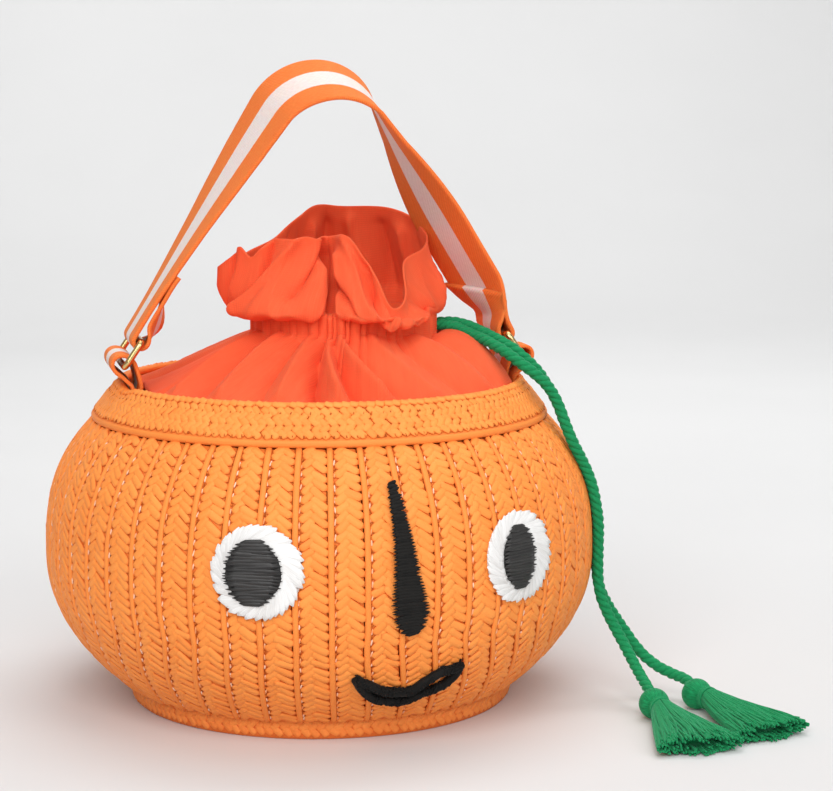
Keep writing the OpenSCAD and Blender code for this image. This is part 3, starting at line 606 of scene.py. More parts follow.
def set_in_rows(name, small, points, right, up, out, size, finish, seed, tilt=0.06, shade=0.5):
    points = np.asarray(points, float).reshape(-1, 3)
    mesh = bpy.data.meshes.new(name)
    mesh.from_pydata((points * MM).tolist(), [], [])
    x, y, z = (np.asarray(v, float).reshape(-1, 3) for v in (right, up, out))
    facing = np.stack([np.arctan2(y[:, 2], z[:, 2]), np.arcsin(np.clip(-x[:, 2], -1, 1)),
                       np.arctan2(x[:, 1], x[:, 0])], 1)
    for label, numbers in (("turn", facing), ("size", np.asarray(size, float).reshape(-1, 3) * MM)):
        held = mesh.attributes.new(label, "FLOAT_VECTOR", "POINT")
        held.data.foreach_set("vector", numbers.astype(np.float32).ravel())
    piece = grow(in_scene(name, mesh), row_tree,
                 {"Shape": small, "Seed": seed, "Tilt": tilt, "Shade": shade, "Finish": finish})
    for label in ("turn", "size"):
        if label in piece.data.attributes:
            piece.data.attributes.remove(piece.data.attributes[label])
    return piece


def spun(right, up, angle):
    angle = np.asarray(angle)[..., None]
    return right * np.cos(angle) + up * np.sin(angle), up * np.cos(angle) - right * np.sin(angle)


# %% [markdown]
# ## Basket wall
# Fifty-two flat straw plaits stand side by side round the bag. Each has a smooth bead on its left edge,
# sewn down beside the plait before it, and a field of straw crossing in a herringbone. The body of a plait
# is skinned along the wall's curve. Its grains and the pale sewing stitches beside the bead are set in rows.

# %% The wall's curve and its directions
HEEL_Z, BELLY_Z, SHOULDER_Z = 9, 70, 129
HEEL_R, BELLY_R, SHOULDER_R = 90.5, 125, 103.5
HEEL_FULL, SHOULDER_FULL = 2.2, 2.7
PLAITS = 52
PITCH = 360 / PLAITS
PLAIT_TURN = -1.8
HEEL_SPREAD, SPREAD_FROM, SPREAD_Z = 0.3, -102.0, HEEL_Z + (BELLY_Z - HEEL_Z) * 2 / 3


def wall_r(z):
    z = np.asarray(z, float)
    above = np.clip((z - BELLY_Z) / (SHOULDER_Z - BELLY_Z), 0, None)
    below = np.clip((BELLY_Z - z) / (BELLY_Z - HEEL_Z), 0, None)
    return (BELLY_R - (BELLY_R - SHOULDER_R) * above ** SHOULDER_FULL
            - (BELLY_R - HEEL_R) * below ** HEEL_FULL)


def spread(azimuth, z):
    below = np.clip((SPREAD_Z - np.asarray(z, float)) / (SPREAD_Z - HEEL_Z), 0, None)
    return azimuth + HEEL_SPREAD * below ** 1.3 * np.degrees(np.sin(np.radians(azimuth - SPREAD_FROM)))


def plait_span(index, z):
    low = spread(index * PITCH + PLAIT_TURN, z)
    high = spread((index + 1) * PITCH + PLAIT_TURN, z)
    return low, np.radians(high - low) * wall_r(z)


def wall_frame(azimuth, z):
    a, z = np.broadcast_arrays(np.radians(azimuth), np.asarray(z, float))
    slope = (wall_r(z + 0.05) - wall_r(z - 0.05)) / 0.1
    point = np.stack([wall_r(z) * np.cos(a), wall_r(z) * np.sin(a), z], -1)
    right = np.stack([-np.sin(a), np.cos(a), 0 * a], -1)
    up = np.stack([slope * np.cos(a), slope * np.sin(a), 1 + 0 * a], -1)
    up /= np.linalg.norm(up, axis=-1, keepdims=True)
    return point, right, up, np.cross(right, up)


wall_z = np.linspace(HEEL_Z, SHOULDER_Z, 61)
fine_z = np.linspace(HEEL_Z, SHOULDER_Z, 1200)
wall_arc = np.concatenate([[0], np.cumsum(np.hypot(np.diff(wall_r(fine_z)), np.diff(fine_z)))])
print("wall's length along its curve", round(float(wall_arc[-1]), 1), "mm")


# %% Outline of one plait and its body
def plait_outline(width):
    bead = np.radians(np.linspace(205, -25, 9))
    field = np.linspace(0, 1, 7)
    swell = np.sin(math.pi * field) ** 0.5
    x = np.concatenate([1.5 + 1.35 * np.cos(bead), [3.1, 3.4], 3.7 + (width - 3.9) * field,
                        [width - 0.12, width - 0.15, 0.15]])
    h = np.concatenate([0.1 + 0.95 * np.sin(bead), [-0.45, -0.4], -0.3 + 0.4 * swell, [-0.9, -2.8, -2.8]])
    # painted shade: darker in the groove beside the bead, over the field between the grains and on the
    # underside
    painted_shade = [0.7, 0.2] + [0] * 5 + [0.15, 0.45] + [0.7, 0.6] + [0.4] * 7 + [0.8] * 3
    return x, h, np.array(painted_shade)


def plait_body(index, rng):
    wander = np.interp(wall_z, np.linspace(HEEL_Z, SHOULDER_Z, 9), rng.normal(0, 0.07, 9))
    rings, painted_shade_rows = [], []
    for z, shift in zip(wall_z, wander):
        edge, width = plait_span(index, z)
        x, h, painted_shade = plait_outline(float(width))
        azimuth = edge + shift * np.clip(1 - x / 6, 0, 1) + np.degrees(x / float(wall_r(z)))
        point, _, _, out = wall_frame(azimuth, z)
        rings.append(point + h[:, None] * out)
        painted_shade_rows.append(painted_shade)
    return skin(rings), np.concatenate(painted_shade_rows)


# %% Grains of one plait's field
GRAIN_PITCH, GRAIN_W, GRAIN_T = 3.9, 3.85, 1.45
FIELD_FROM, FIELD_SIDES = 3.85, 4.0
GRAIN_LOW, GRAIN_HIGH = 11.0, 128.2


def plait_grains(index, rng):
    row = np.arange(1.5, wall_arc[-1] + 1.5, GRAIN_PITCH) + rng.uniform(-0.6, 0.6)
    z = np.interp(row, wall_arc, fine_z)
    place, length, lean = [], [], []
    for low, high, angle in ((-0.02, 0.47, 42), (0.33, 1.02, -36)):
        width = plait_span(index, z)[1] - FIELD_SIDES
        place.append(FIELD_FROM + width * (low + high) / 2 + rng.normal(0, 0.15, len(z)))
        length.append(1.1 * width * (high - low) / math.cos(math.radians(angle)))
        lean.append(np.radians(angle) + rng.normal(0, 0.11, len(z)))
    z = np.clip(np.concatenate([z, z - 1.7 + rng.normal(0, 0.3, len(z))]), GRAIN_LOW, GRAIN_HIGH)
    place, length, lean = (np.concatenate(v) for v in (place, length, lean))
    point, right, up, out = wall_frame(plait_span(index, z)[0] + np.degrees(place / wall_r(z)), z)
    right, up = spun(right, up, lean)
    size = np.stack([length, rng.normal(GRAIN_W, 0.25, len(z)), np.full(len(z), GRAIN_T)], 1)
    return point + rng.normal(0.12, 0.1, len(z))[:, None] * out, right, up, out, size


# %% Sewing stitches beside the bead, and dark lenses of painted shade for its needle holes
STITCH_PITCH, STITCH_FROM = 5.3, 3.2


def plait_stitches(index, rng):
    row = np.arange(4.0, wall_arc[-1] - 3, STITCH_PITCH) + rng.uniform(-1.5, 1.5)
    row = row + rng.normal(0, 0.5, len(row))
    sets = []
    for shift, long, wide, high in ((0.0, 2.9, 0.8, 0.45), (2.65, 1.3, 0.9, 0.2)):
        z = np.interp(row + shift, wall_arc, fine_z)
        point, right, up, out = wall_frame(plait_span(index, z)[0] + np.degrees(STITCH_FROM / wall_r(z)), z)
        right, up = spun(right, up, math.pi / 2 - 0.12 + rng.normal(0, 0.08, len(z)))
        size = np.stack([rng.normal(long, 0.3, len(z)), np.full(len(z), wide), np.full(len(z), 0.8)], 1)
        sets.append((point + (high - 0.15) * out, right, up, out, size))
    return sets


thread, tree, shader, mottle = mottled(
    "sewing_thread", 160.0, 2.0, [(0.42, (0.9, 0.34, 0.12)), (0.58, (0.95, 0.6, 0.42))],
    Roughness=0.6, Specular_IOR_Level=0.3)
bump(tree, shader, mottle, 0.3, 0.0003)
# painted shade: the needle holes are dark lenses laid on the straw, standing for the shadow inside each hole
hole_shade, *_ = mottled("painted_hole_shade", 300.0, 2.0, [(0.4, (0.42, 0.09, 0.016)), (0.6, (0.7, 0.17, 0.03))],
                  Roughness=0.9, Specular_IOR_Level=0.1)

# %% Build the wall in four quarters
rng = np.random.default_rng(21)
quarter_plaits = PLAITS // 4
for number, quarter in enumerate(("right_rear", "left_rear", "left_front", "right_front")):
    made, rows, sewn, holes = [], [], [], []
    for index in range(quarter_plaits * number, quarter_plaits * (number + 1)):
        body, painted_shade = plait_body(index, rng)
        made.append(make_piece(f"plait_{index}", *body, material=straw, values={"painted_shade": painted_shade}))
        rows.append(plait_grains(index, rng))
        threads, pits = plait_stitches(index, rng)
        sewn.append(threads)
        holes.append(pits)
    rows, sewn, holes = ([np.concatenate(v) for v in zip(*each)] for each in (rows, sewn, holes))
    made.append(set_in_rows("grains", grain, *rows, straw, 5 + number))
    made.append(set_in_rows("stitches", stitch, *sewn, thread, 15 + number))
    made.append(set_in_rows("needle_holes", stitch, *holes, hole_shade, 25 + number))
    wall = join(f"wall_{quarter}", made)
    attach(wall, "bag")
    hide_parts(f"side_plaits_{quarter}")
    print(wall.name, triangles(wall))

# %% [markdown]
# ## Rim, foot, base and lining
# The rim is one wider plait bound round the mouth, with a beaded lower edge and a sewn line below its top.
# The foot is a plait standing on its edge. Both are turned outlines with crossed grains set in rows over
# them. Soft straw gives where something presses on it, so the rim's crown is pressed in under the corners of
# the rings, which come down there when the handle swings. The base and the cloth lining keep their solids and
# take the straw and cotton finishes.

# %% Turned bands and the rows on a cone
BAND_STEPS = 360


def turned_band(name, outline, material, painted_shade):
    outline = np.asarray(outline, float)[::-1]
    painted_shade = np.asarray(painted_shade, float)[::-1]
    a = np.arange(BAND_STEPS) * math.tau / BAND_STEPS
    r, z = outline[:, 0], outline[:, 1]
    rings = np.stack([r[None] * np.cos(a)[:, None], r[None] * np.sin(a)[:, None],
                      np.broadcast_to(z, (BAND_STEPS, len(z)))], -1)
    return make_piece(name, *skin(rings, path_closed=True), material=material,
                      values={"painted_shade": np.tile(painted_shade, BAND_STEPS)})


def cone_rows(low, high, rows, pitch, length, width, rng, raised, lean, height):
    low, high = np.array(low, float), np.array(high, float)
    along = (high - low) / np.linalg.norm(high - low)
    found = []
    for number, share in enumerate(rows):
        r, z = low + (high - low) * share
        count = int(math.tau * r / pitch)
        a = (np.arange(count) + 0.5 * (number % 2)) * math.tau / count + rng.normal(0, 0.004, count)
        right = np.stack([-np.sin(a), np.cos(a), 0 * a], 1)
        up = np.stack([along[0] * np.cos(a), along[0] * np.sin(a), 0 * a + along[1]], 1)
        out = np.cross(right, up)
        point = np.stack([r * np.cos(a), r * np.sin(a), 0 * a + z], 1) + raised * out
        point += rng.normal(0, 0.15, (count, 1)) * up
        turned_by = math.radians(lean if number % 2 else -lean) + rng.normal(0, 0.08, count)
        x, y = spun(right, up, turned_by)
        lengths, widths = rng.normal(length, 0.25, count), rng.normal(width, 0.15, count)
        found.append((point, x, y, out, np.stack([lengths, widths, np.full(count, height)], 1)))
    return [np.concatenate(v) for v in zip(*found)]


# %% Rim band
BEAD_R = 1.8
BEAD_AT, CROWN_AT = np.array([102.62, 131.06]), np.array([91.5, 145.2])
FACE_LOW, FACE_HIGH = np.array([103.5, 132.6]), np.array([93.05, 146.1])


def heading(angle):
    return np.array([math.cos(math.radians(angle)), math.sin(math.radians(angle))])


rim_outline = ([[100.3, 129.5], [102.6, 129.3]]
               + [BEAD_AT + BEAD_R * heading(a) for a in np.linspace(-70, 62, 9)]
               + [FACE_LOW + (FACE_HIGH - FACE_LOW) * s - (0.35, 0.2) for s in np.linspace(0.06, 0.97, 8)]
               + [CROWN_AT + BEAD_R * heading(a) for a in np.linspace(34, 200, 9)]
               + [[94.2, 138.6], [98.7, 130.8]])
# painted shade: darker on the rim's underside and inner side, and across its face between the grains
rim_painted_shade = [0.6, 0.5] + [0.05] * 8 + [0.4] * 9 + [0.1] * 9 + [0.4, 0.6]
rng = np.random.default_rng(33)
face_grains = cone_rows(FACE_LOW, FACE_HIGH, (0.17, 0.33, 0.49, 0.65, 0.81), 3.7, 5.6, 3.5, rng,
                        -0.1, 44, 1.3)
edge_grains = cone_rows((93.9, 145.9), (92.3, 147.0), (0.45,), 3.7, 4.6, 3.3, rng, -0.7, 20, 1.8)
# painted shade: dark lenses stand for the needle holes in the rim's face
face_holes = cone_rows(FACE_LOW, FACE_HIGH, (0.09, 0.74), 4.3, 1.5, 0.75, rng, 0.3, 80, 0.7)
rim_piece = join("rim", [turned_band("rim_body", rim_outline, straw, rim_painted_shade),
                         set_in_rows("rim_grains", grain, *face_grains, straw, 41),
                         set_in_rows("rim_edge", grain, *edge_grains, straw, 42),
                         set_in_rows("rim_holes", stitch, *face_holes, hole_shade, 44)])
print("rim", triangles(rim_piece))

# %% Press the rim where the rings' corners come down
CORNER_AZIMUTH, CORNER_WIDTH = 12.4, 4.5
PRESSED_FROM, PRESSED_OVER, PRESSED_BY = 141, 4, 1.7
spots = np.array([v.co for v in rim_piece.data.vertices])
from_side = np.degrees(np.arctan2(np.abs(spots[:, 1]), np.abs(spots[:, 0])))
pressed = np.exp(-((from_side - CORNER_AZIMUTH) / CORNER_WIDTH) ** 2)
pressed *= np.clip((spots[:, 2] / MM - PRESSED_FROM) / PRESSED_OVER, 0, 1)
spots[:, 2] -= PRESSED_BY * MM * pressed
rim_piece.data.vertices.foreach_set("co", spots.ravel())
rim_piece.data.update()
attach(rim_piece, "bag")
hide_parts("rim_band")
print("rim pressed by up to", round(float(PRESSED_BY * pressed.max()), 2), "mm")

# %% Foot band, base and lining
foot_outline = [[84.4, 0.9], [85.2, 0.2], [86.6, 0.1], [87.4, 0.8], [87.7, 3], [87.9, 5.3], [88.2, 7.8],
                [88.5, 10.0], [88.3, 10.5], [85.6, 10.5], [84.9, 10.0], [84.5, 5]]
# painted shade: the foot band is darkened, most of all along its top and inner side under the wall
foot_painted_shade = [0.6, 0.3, 0.3, 0.6] + [0.75] * 5 + [1, 1, 0.8]
foot_grains = cone_rows((87.5, 0), (88.8, 10.5), (0.32, 0.55, 0.79), 3.9, 5.4, 3.6, rng, -0.4, 42, 1.4)
foot_piece = join("foot", [turned_band("foot_body", foot_outline, foot_straw, foot_painted_shade),
                           set_in_rows("foot_grains", grain, *foot_grains, foot_straw, 43)])
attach(foot_piece, "bag")
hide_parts("foot_band")


def refinish(node, finish):
    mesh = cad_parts[node].data
    mesh.materials.clear()
    mesh.materials.append(finish)


refinish("base_disc", foot_straw)
refinish("lining", lining_cotton)
print("foot", triangles(foot_piece))

# %% [markdown]
# ## Cloth top
# One tube of orange cotton is sewn inside the rim, drawn in at the cord tunnel and left to fall open above
# it. It is made as a woven grid: columns run from the rim through the neck to the free hem. The table below
# gives the hem's path as the photo shows it, where each part of it leaves the neck, and how far the cloth
# there puffs out before it rises. Two big lobes fold forward and the back stands up. The cord draws the cover
# up a little more at the front and left, and pleats, folds and creases are added to the grid as heights.

# %% Hem of the free cloth
# neck azimuth, hem x, y and z, puff
hem_table = np.array([
    [-186, -46.4, 0.0, 197.5, 0.3], [-178, -42.0, -5.0, 202.2, 0.45], [-171, -38.0, -9.0, 207.3, 0.65],
    [-165, -33.6, -13.5, 203.0, 0.85], [-158, -29.7, -17.0, 206.8, 1.0], [-150, -24.3, -20.0, 210.2, 1.1],
    [-142, -17.8, -22.0, 211.8, 1.15], [-134, -10.3, -23.0, 212.3, 1.1], [-126, -5.5, -23.5, 211.3, 0.95],
    [-121, -2.6, -21.5, 210.8, 0.45], [-117, -0.4, -16.0, 210.8, -0.1], [-112, 1.6, -11.0, 211.6, -0.25],
    [-107, 4.2, -11.5, 211.8, -0.25], [-102, 7.0, -18.0, 212.4, 0.0], [-98, 9.9, -25.0, 212.2, 0.75],
    [-92, 13.7, -33.8, 202.8, 1.0], [-83, 18.4, -41.8, 194.5, 0.85],
    [-72, 23.2, -46.7, 182.9, 0.7], [-60, 28.6, -44.6, 182.6, 0.5], [-49, 32.2, -38.1, 188.1, 0.35],
    [-36, 33.9, -26.2, 200.6, 0.2], [-20, 45.8, -12.1, 205.7, 0.12], [2, 50.7, 3.3, 211.1, 0.08],
    [25, 46.1, 17.3, 218.7, 0.1], [48, 36.0, 28.2, 222.5, 0.1], [78, 17.2, 37.7, 222.7, 0.1],
    [98, 5.2, 37.0, 223.3, 0.1], [118, -3.5, 31.5, 218.5, 0.1], [136, -10.8, 26.5, 213.7, 0.1],
    [150, -18.2, 21.0, 208.4, 0.1], [160, -29.8, 14.0, 204.0, 0.15], [168, -39.0, 7.0, 199.5, 0.2]])
COLUMNS = 540


def half_turn(angle):
    return (angle + 180) % 360 - 180


def round_trip(table, count):
    number = len(table)
    place = np.arange(count) / count * number
    i, t = place.astype(int), (place % 1)[:, None]
    a, b, c, d = (table[(i + k) % number].copy() for k in (-1, 0, 1, 2))
    for other in (a, c, d):
        other[:, 0] = b[:, 0] + half_turn(other[:, 0] - b[:, 0])
    return spline_point(a, b, c, d, t)


hem = round_trip(hem_table, COLUMNS)
hem_line = hem[:, 1:4]
print("hem length", round(line_length(np.concatenate([hem_line, hem_line[:1]]))), "mm")


# %% Pleats at the neck
PLEAT_PITCH, PLEAT_CLOSER, CLOSEST_AT = 7.5, 3.6, 253
rng = np.random.default_rng(12)
azimuth = np.degrees(np.unwrap(np.radians(hem[:, 0])))
pleat_edges = [0.0]
while pleat_edges[-1] < 354:
    close = math.exp(-((pleat_edges[-1] - CLOSEST_AT) / 22) ** 2)
    pleat_edges.append(pleat_edges[-1] + (PLEAT_PITCH - PLEAT_CLOSER * close) * rng.uniform(0.55, 1.5))
pleat_count = len(pleat_edges)
pleat_edges = np.array(pleat_edges)
pleat_depth = rng.uniform(0.3, 1.1, pleat_count)


def pleat(angle):
    angle = np.mod(angle, 360)
    i = (np.searchsorted(pleat_edges, angle, side="right") - 1) % pleat_count
    span = np.mod(np.roll(pleat_edges, -1)[i] - pleat_edges[i], 360)
    share = np.mod(angle - pleat_edges[i], 360) / span
    return pleat_depth[i] * np.sin(math.pi * share) ** 0.7


def gauss(angle, middle, width):
    return np.exp(-(half_turn(angle - middle) / width) ** 2)


pleats = pleat(azimuth)
print("pleats", pleat_count)

# %% Sizes and folds of the cover
SEWN_R, SEWN_Z, TAB_NOTCH = 90.0, 143.0, 9.6
NECK_R, NECK_Z, CASING_LOW, CASING_HIGH = 41.7, 165.5, 166.0, 176.0
COVER_ROWS, CASING_ROWS, FREE_ROWS = 34, 7, 48
gathered = 0.45 + 0.55 * gauss(azimuth, -105, 48) - 0.25 * gauss(azimuth, -12, 40)
neck_r = NECK_R + 2.8 * pleats * gathered
drawn_up = 3.5 * (0.5 + 0.5 * np.cos(np.radians(azimuth + 115))) ** 2
outward = np.stack([np.cos(np.radians(azimuth)), np.sin(np.radians(azimuth)), 0 * azimuth], -1)
from_tab = np.minimum(np.abs(half_turn(azimuth)), np.abs(azimuth % 360 - 180))
edge_r = SEWN_R - TAB_NOTCH * np.exp(-(from_tab / 18) ** 6)
edge = edge_r[:, None] * outward + (0, 0, SEWN_Z)
steepness = 1.3 - 0.1 * gauss(azimuth, -90, 35) - 0.4 * gauss(azimuth, -8, 50)
fullness = 2.0 + 8.0 * gauss(azimuth, -12, 38)
# azimuth at the neck and at the rim, height, half width
folds = ((-112, -101, -11.0, 3.2), (-109, -94, 8.5, 2.8), (-106, -87, -8.0, 2.8), (-103, -80, 8.0, 3.4),
         (-99, -72, -5.5, 3.4), (-118, -112, 5.0, 4.0), (-126, -119, -4.5, 3.2), (-141, -130, 5.0, 4.5),
         (-152, -138, -4.5, 3.6), (-164, -146, 4.5, 4.0), (-178, -156, -3.5, 4.0), (-86, -64, 4.0, 4.5),
         (-70, -52, -4.0, 3.6), (-56, -44, 3.5, 5.0), (-42, -36, -4.0, 3.6), (170, 160, -3.4, 5.0),
         (140, 132, 3.4, 6.0), (104, 110, -3.4, 6.0), (78, 72, 3.4, 7.0), (40, 48, -3.0, 6.0))

# %% Rows of the cover, the neck and the free cloth
neck_low = ring_at(azimuth, neck_r, NECK_Z + drawn_up)
cloth_rows = []
for share in np.linspace(0, 0.97, COVER_ROWS):
    cover = edge + (neck_low - edge) * share
    lift = 0 * azimuth
    for at_neck, at_rim, amount, width in folds:
        off = half_turn(azimuth - at_rim - (at_neck - at_rim) * share)
        lift += amount * np.exp(-np.abs(np.radians(off) * (SEWN_R - 49 * share) / width) ** 1.35)
    swell = math.sin(math.pi * min(1, share * 1.03)) ** 0.7
    cover[:, 2] = SEWN_Z + (NECK_Z - SEWN_Z + drawn_up) * share ** steepness + fullness * swell
    cover[:, 2] += lift * min(1, share / 0.12) * (1 - 0.5 * share ** 4)
    cover[:, 2] += 1.6 * gathered * (pleats - 0.5) * share ** 6
    cloth_rows.append(cover)
for share in np.linspace(0, 1, CASING_ROWS):
    rise = drawn_up + (CASING_HIGH - CASING_LOW - drawn_up) * share
    cloth_rows.append(ring_at(azimuth, neck_r, CASING_LOW + rise))
puff = hem[:, 4]
start, upward = ring_at(azimuth, 42.6, CASING_HIGH), np.array([0, 0, 1])
drawn_in = cloth_rows[-1] - start
first = start + outward * (4 + 30 * puff)[:, None] + upward * (5 - 6 * puff)[:, None]
last = hem_line + outward * (3 - 8 * puff)[:, None] - upward * (14 + 3 * puff)[:, None]
kept_over = 0.08 + 0.3 * gauss(azimuth, -110.5, 6)
for t in np.linspace(0, 1, FREE_ROWS + 1)[1:]:
    bowed = start * (1 - t) ** 3 + 3 * first * t * (1 - t) ** 2
    bowed = bowed + 3 * last * t * t * (1 - t) + hem_line * t ** 3
    cloth_rows.append(bowed + drawn_in * np.exp(-t / kept_over)[:, None])
grid = np.array(cloth_rows)
print("cloth grid", grid.shape)


# %% Soft creases in the loose cloth
def creased(grid, height):
    along = np.gradient(grid, axis=0)
    around = np.roll(grid, -1, 1) - np.roll(grid, 1, 1)
    normal = np.cross(around, along)
    normal /= np.linalg.norm(normal, axis=2, keepdims=True) + 1e-9
    return grid + height[:, :, None] * normal


neck_row = COVER_ROWS + CASING_ROWS - 1
to_hem = np.clip((np.arange(len(grid)) - neck_row) / FREE_ROWS, 0, 1)[:, None]
round_neck = np.radians(azimuth)[None]
# height, number round the neck, place, drift towards the hem
waves = ((0.9, 7, 0.4, 1.2), (1.3, 11, 2.0, -1.0), (0.9, 17, 4.1, 1.8), (0.5, 25, 1.2, -2.0))
height = sum(a * (1.2 - 2 * np.abs(np.sin(k / 2 * round_neck + p + q * to_hem)) ** 0.8)
             for a, k, p, q in waves)
height = height * np.sin(math.pi * to_hem ** 0.7) ** 0.8
height += 1.2 * gauss(azimuth, -108, 26) * (pleats[None] - 0.4) * np.exp(-to_hem / 0.07) * (to_hem > 0)
# azimuth and share of the way to the hem at both ends, height, half width in degrees
creases = ((-140, 0.97, -160, 0.35, 3.6, 3.2), (-150, 1.0, -168, 0.4, -4.5, 3.2),
           (-116, 0.95, -132, 0.55, -4.0, 3.4), (-175, 1.0, -178, 0.4, -3.0, 2.2),
           (-104, 0.5, -96, 0.25, -5.5, 2.2), (-100, 0.95, -88, 0.35, 3.2, 3.0),
           (-90, 0.9, -76, 0.35, -4.0, 3.2), (-66, 0.8, -58, 0.25, 2.6, 4.0), (-44, 0.8, -34, 0.2, -3.0, 4.0),
           (104, 0.8, 108, 0.3, -3.5, 5.0), (88, 0.8, 92, 0.3, 3.5, 4.0), (72, 0.85, 66, 0.3, -4.5, 4.0),
           (52, 0.8, 48, 0.3, 3.5, 5.0), (34, 0.8, 30, 0.3, -3.5, 5.0), (-112, 0.85, -110, 0.24, -10.0, 3.4),
           (-121, 0.7, -119, 0.15, 4.5, 3.5), (-102.5, 0.75, -102, 0.15, 5.0, 3.0))
for first_az, first_t, last_az, last_t, amount, width in creases:
    share = np.clip((to_hem - first_t) / (last_t - first_t), -0.3, 1.3)
    off = half_turn(azimuth[None] - first_az - (last_az - first_az) * np.clip(share, 0, 1))
    fade = np.exp(-np.maximum(0, np.abs(share - 0.5) - 0.5) ** 2 / 0.02) * (to_hem > 0)
    height = height + amount * fade * np.exp(-np.abs(off / width) ** 1.6)
grid = creased(grid, height)
print("creases up to", round(float(np.abs(height).max()), 1), "mm")


# %% Give the cloth its thickness and lay it on the bag
def sheet_piece(name, grid, thickness, material):
    piece = make_piece(name, *skin(grid[::-1], caps=False), material=material)
    solid = piece.modifiers.new("thickness", "SOLIDIFY")
    solid.thickness = thickness * MM
    solid.offset = 0
    solid.use_even_offset = False
    return as_plain_mesh(piece)


top = sheet_piece("cloth_top", grid, 0.8, cotton)
tunnel_outline = ((40.9, 177.0), (38.4, 176.8), (36.2, 175.6), (35.2, 173.6), (35.0, 170.5), (35.2, 167),
                  (36.2, 164.6), (38.4, 163.3), (40.6, 163.0))
tunnel_rows = [ring_at(azimuth, r + 0.4 * pleats * gathered, z) for r, z in tunnel_outline[::-1]]
tunnel = sheet_piece("cord_tunnel", np.array(tunnel_rows), 0.7, cotton)
for piece in (top, tunnel):
    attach(piece, "bag")
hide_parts("cloth_cover", "neck_casing", "frill")

# %% [markdown]
# ## Handle
# The handle is one length of cotton webbing, orange with a pale middle stripe. At each end it goes round a
# wire ring, turns back on itself and is sewn. It leans forward and twists a little, more on the right leg.
# The ribbon is skinned along the CAD's own path, but its left end hangs looser, as in the photo. A number
# kept across its width places the stripe. A tab at each side holds the ring to the rim. The tabs' loops are
# roomier than the wire, so that a ring can turn in them.

# %% Webbing and ring finishes
webbing, tree, shader = start_material(
    "striped_webbing", Roughness=0.8, Specular_IOR_Level=0.2, Subsurface_Weight=0.5,
    Subsurface_Radius=(1.0, 0.35, 0.2), Subsurface_Scale=0.0015)
weave_at = add(tree, "ShaderNodeTexCoord").outputs["UV"]
ragged = noise(tree, stretched(tree, weave_at, (1.2, 0.3, 1)), 1.0)
wavering = maths(tree, "MULTIPLY_ADD", ragged, 0.5, kept_number(tree, "across"))
off_middle = maths(tree, "ABSOLUTE", maths(tree, "SUBTRACT", wavering, 0.25))
in_stripe = add(tree, "ShaderNodeMapRange", {"Value": off_middle, "From Min": 6.6, "From Max": 6.2})
diagonal = add(tree, "ShaderNodeMapping", {"Vector": weave_at, "Rotation": (0, 0, math.radians(38))})
twill = add(tree, "ShaderNodeTexWave",
            {"Vector": diagonal.outputs["Vector"], "Scale": 0.32, "Distortion": 0.5})
fleck = noise(tree, stretched(tree, weave_at, (0.5, 2.0, 1)), 1.0)
dyed = ramp(tree, fleck, [(0.3, (0.84, 0.18, 0.035)), (0.7, (0.9, 0.23, 0.05))])
pale = ramp(tree, fleck, [(0.3, (0.8, 0.66, 0.62)), (0.7, (0.88, 0.78, 0.74))])
striped = mixed(tree, in_stripe.outputs["Result"], dyed, pale)
tree.links.new(mixed(tree, 0.12, striped, twill.outputs["Color"], "MULTIPLY"), shader.inputs["Base Color"])
bump(tree, shader, twill.outputs["Fac"], 0.3, 0.0003)

brass, tree, shader, mottle = mottled(
    "gold_wire", 90.0, 4.0, [(0.35, (0.72, 0.5, 0.2)), (0.65, (0.86, 0.64, 0.3))],
    Metallic=1.0, Roughness=0.25)
roughness_between(tree, shader, mottle, 0.16, 0.34)
refinish("ring_left", brass)
refinish("ring_right", brass)
print("webbing and ring finishes made")

# %% Path of the handle
AXIS_Z = 155.5
INNER_BAR, BEND_AT = np.array([83.5, 11.0]), np.array([0.0, 97.5])
TOP_R, LOOP_R, PLY_STEP = 28.5, 3.28, 2.3
to_bend = BEND_AT - INNER_BAR
bend_far = float(np.hypot(*to_bend))
leg_angle = math.degrees(math.atan2(to_bend[1], to_bend[0]) - math.asin((TOP_R - LOOP_R) / bend_far))
leg_along, leg_out = heading(leg_angle), heading(leg_angle - 90)
leg_from = INNER_BAR + LOOP_R * leg_out
leg_l = bend_far * math.cos(math.asin((TOP_R - LOOP_R) / bend_far))
leg = [leg_from + s * leg_along for s in np.linspace(4, leg_l, 46)]
over_top = [BEND_AT + TOP_R * heading(a) for a in np.linspace(leg_angle - 90, 90, 26)[1:]]


def strap_end(stops, steps):
    return [INNER_BAR + s * leg_along - inside * leg_out for s, inside in eased_line(stops, steps)]


# stops are the way up the leg from the ring's bar and the distance inside it
BESIDE = PLY_STEP - LOOP_R
round_bar = [(LOOP_R * math.cos(a), LOOP_R * math.sin(a)) for a in np.radians(np.linspace(90, 270, 9))]
right_end = strap_end([(22.5, BESIDE), (15.5, BESIDE), (8.5, BESIDE), (4.0, 1.9)] + round_bar, 3)
left_end = strap_end([(33, BESIDE), (27, BESIDE), (22, 0.3), (16, 2.4), (10, 4.2), (4, 4.9), (0, 4.1),
                      (-2.5, 2.2)] + round_bar[4:], 3)
right_half, left_half = np.array(right_end + leg + over_top), np.array(left_end + leg + over_top)
right_back, left_back = 12, 24
top_up = float((BEND_AT + (0, TOP_R) - INNER_BAR) @ leg_along)
print("leg angle", round(leg_angle, 2), "leg", round(leg_l, 1), "to the top", round(top_up, 1))


# %% Skin the ribbon
STRAP_W, STRAP_T = 38.0, 2.0


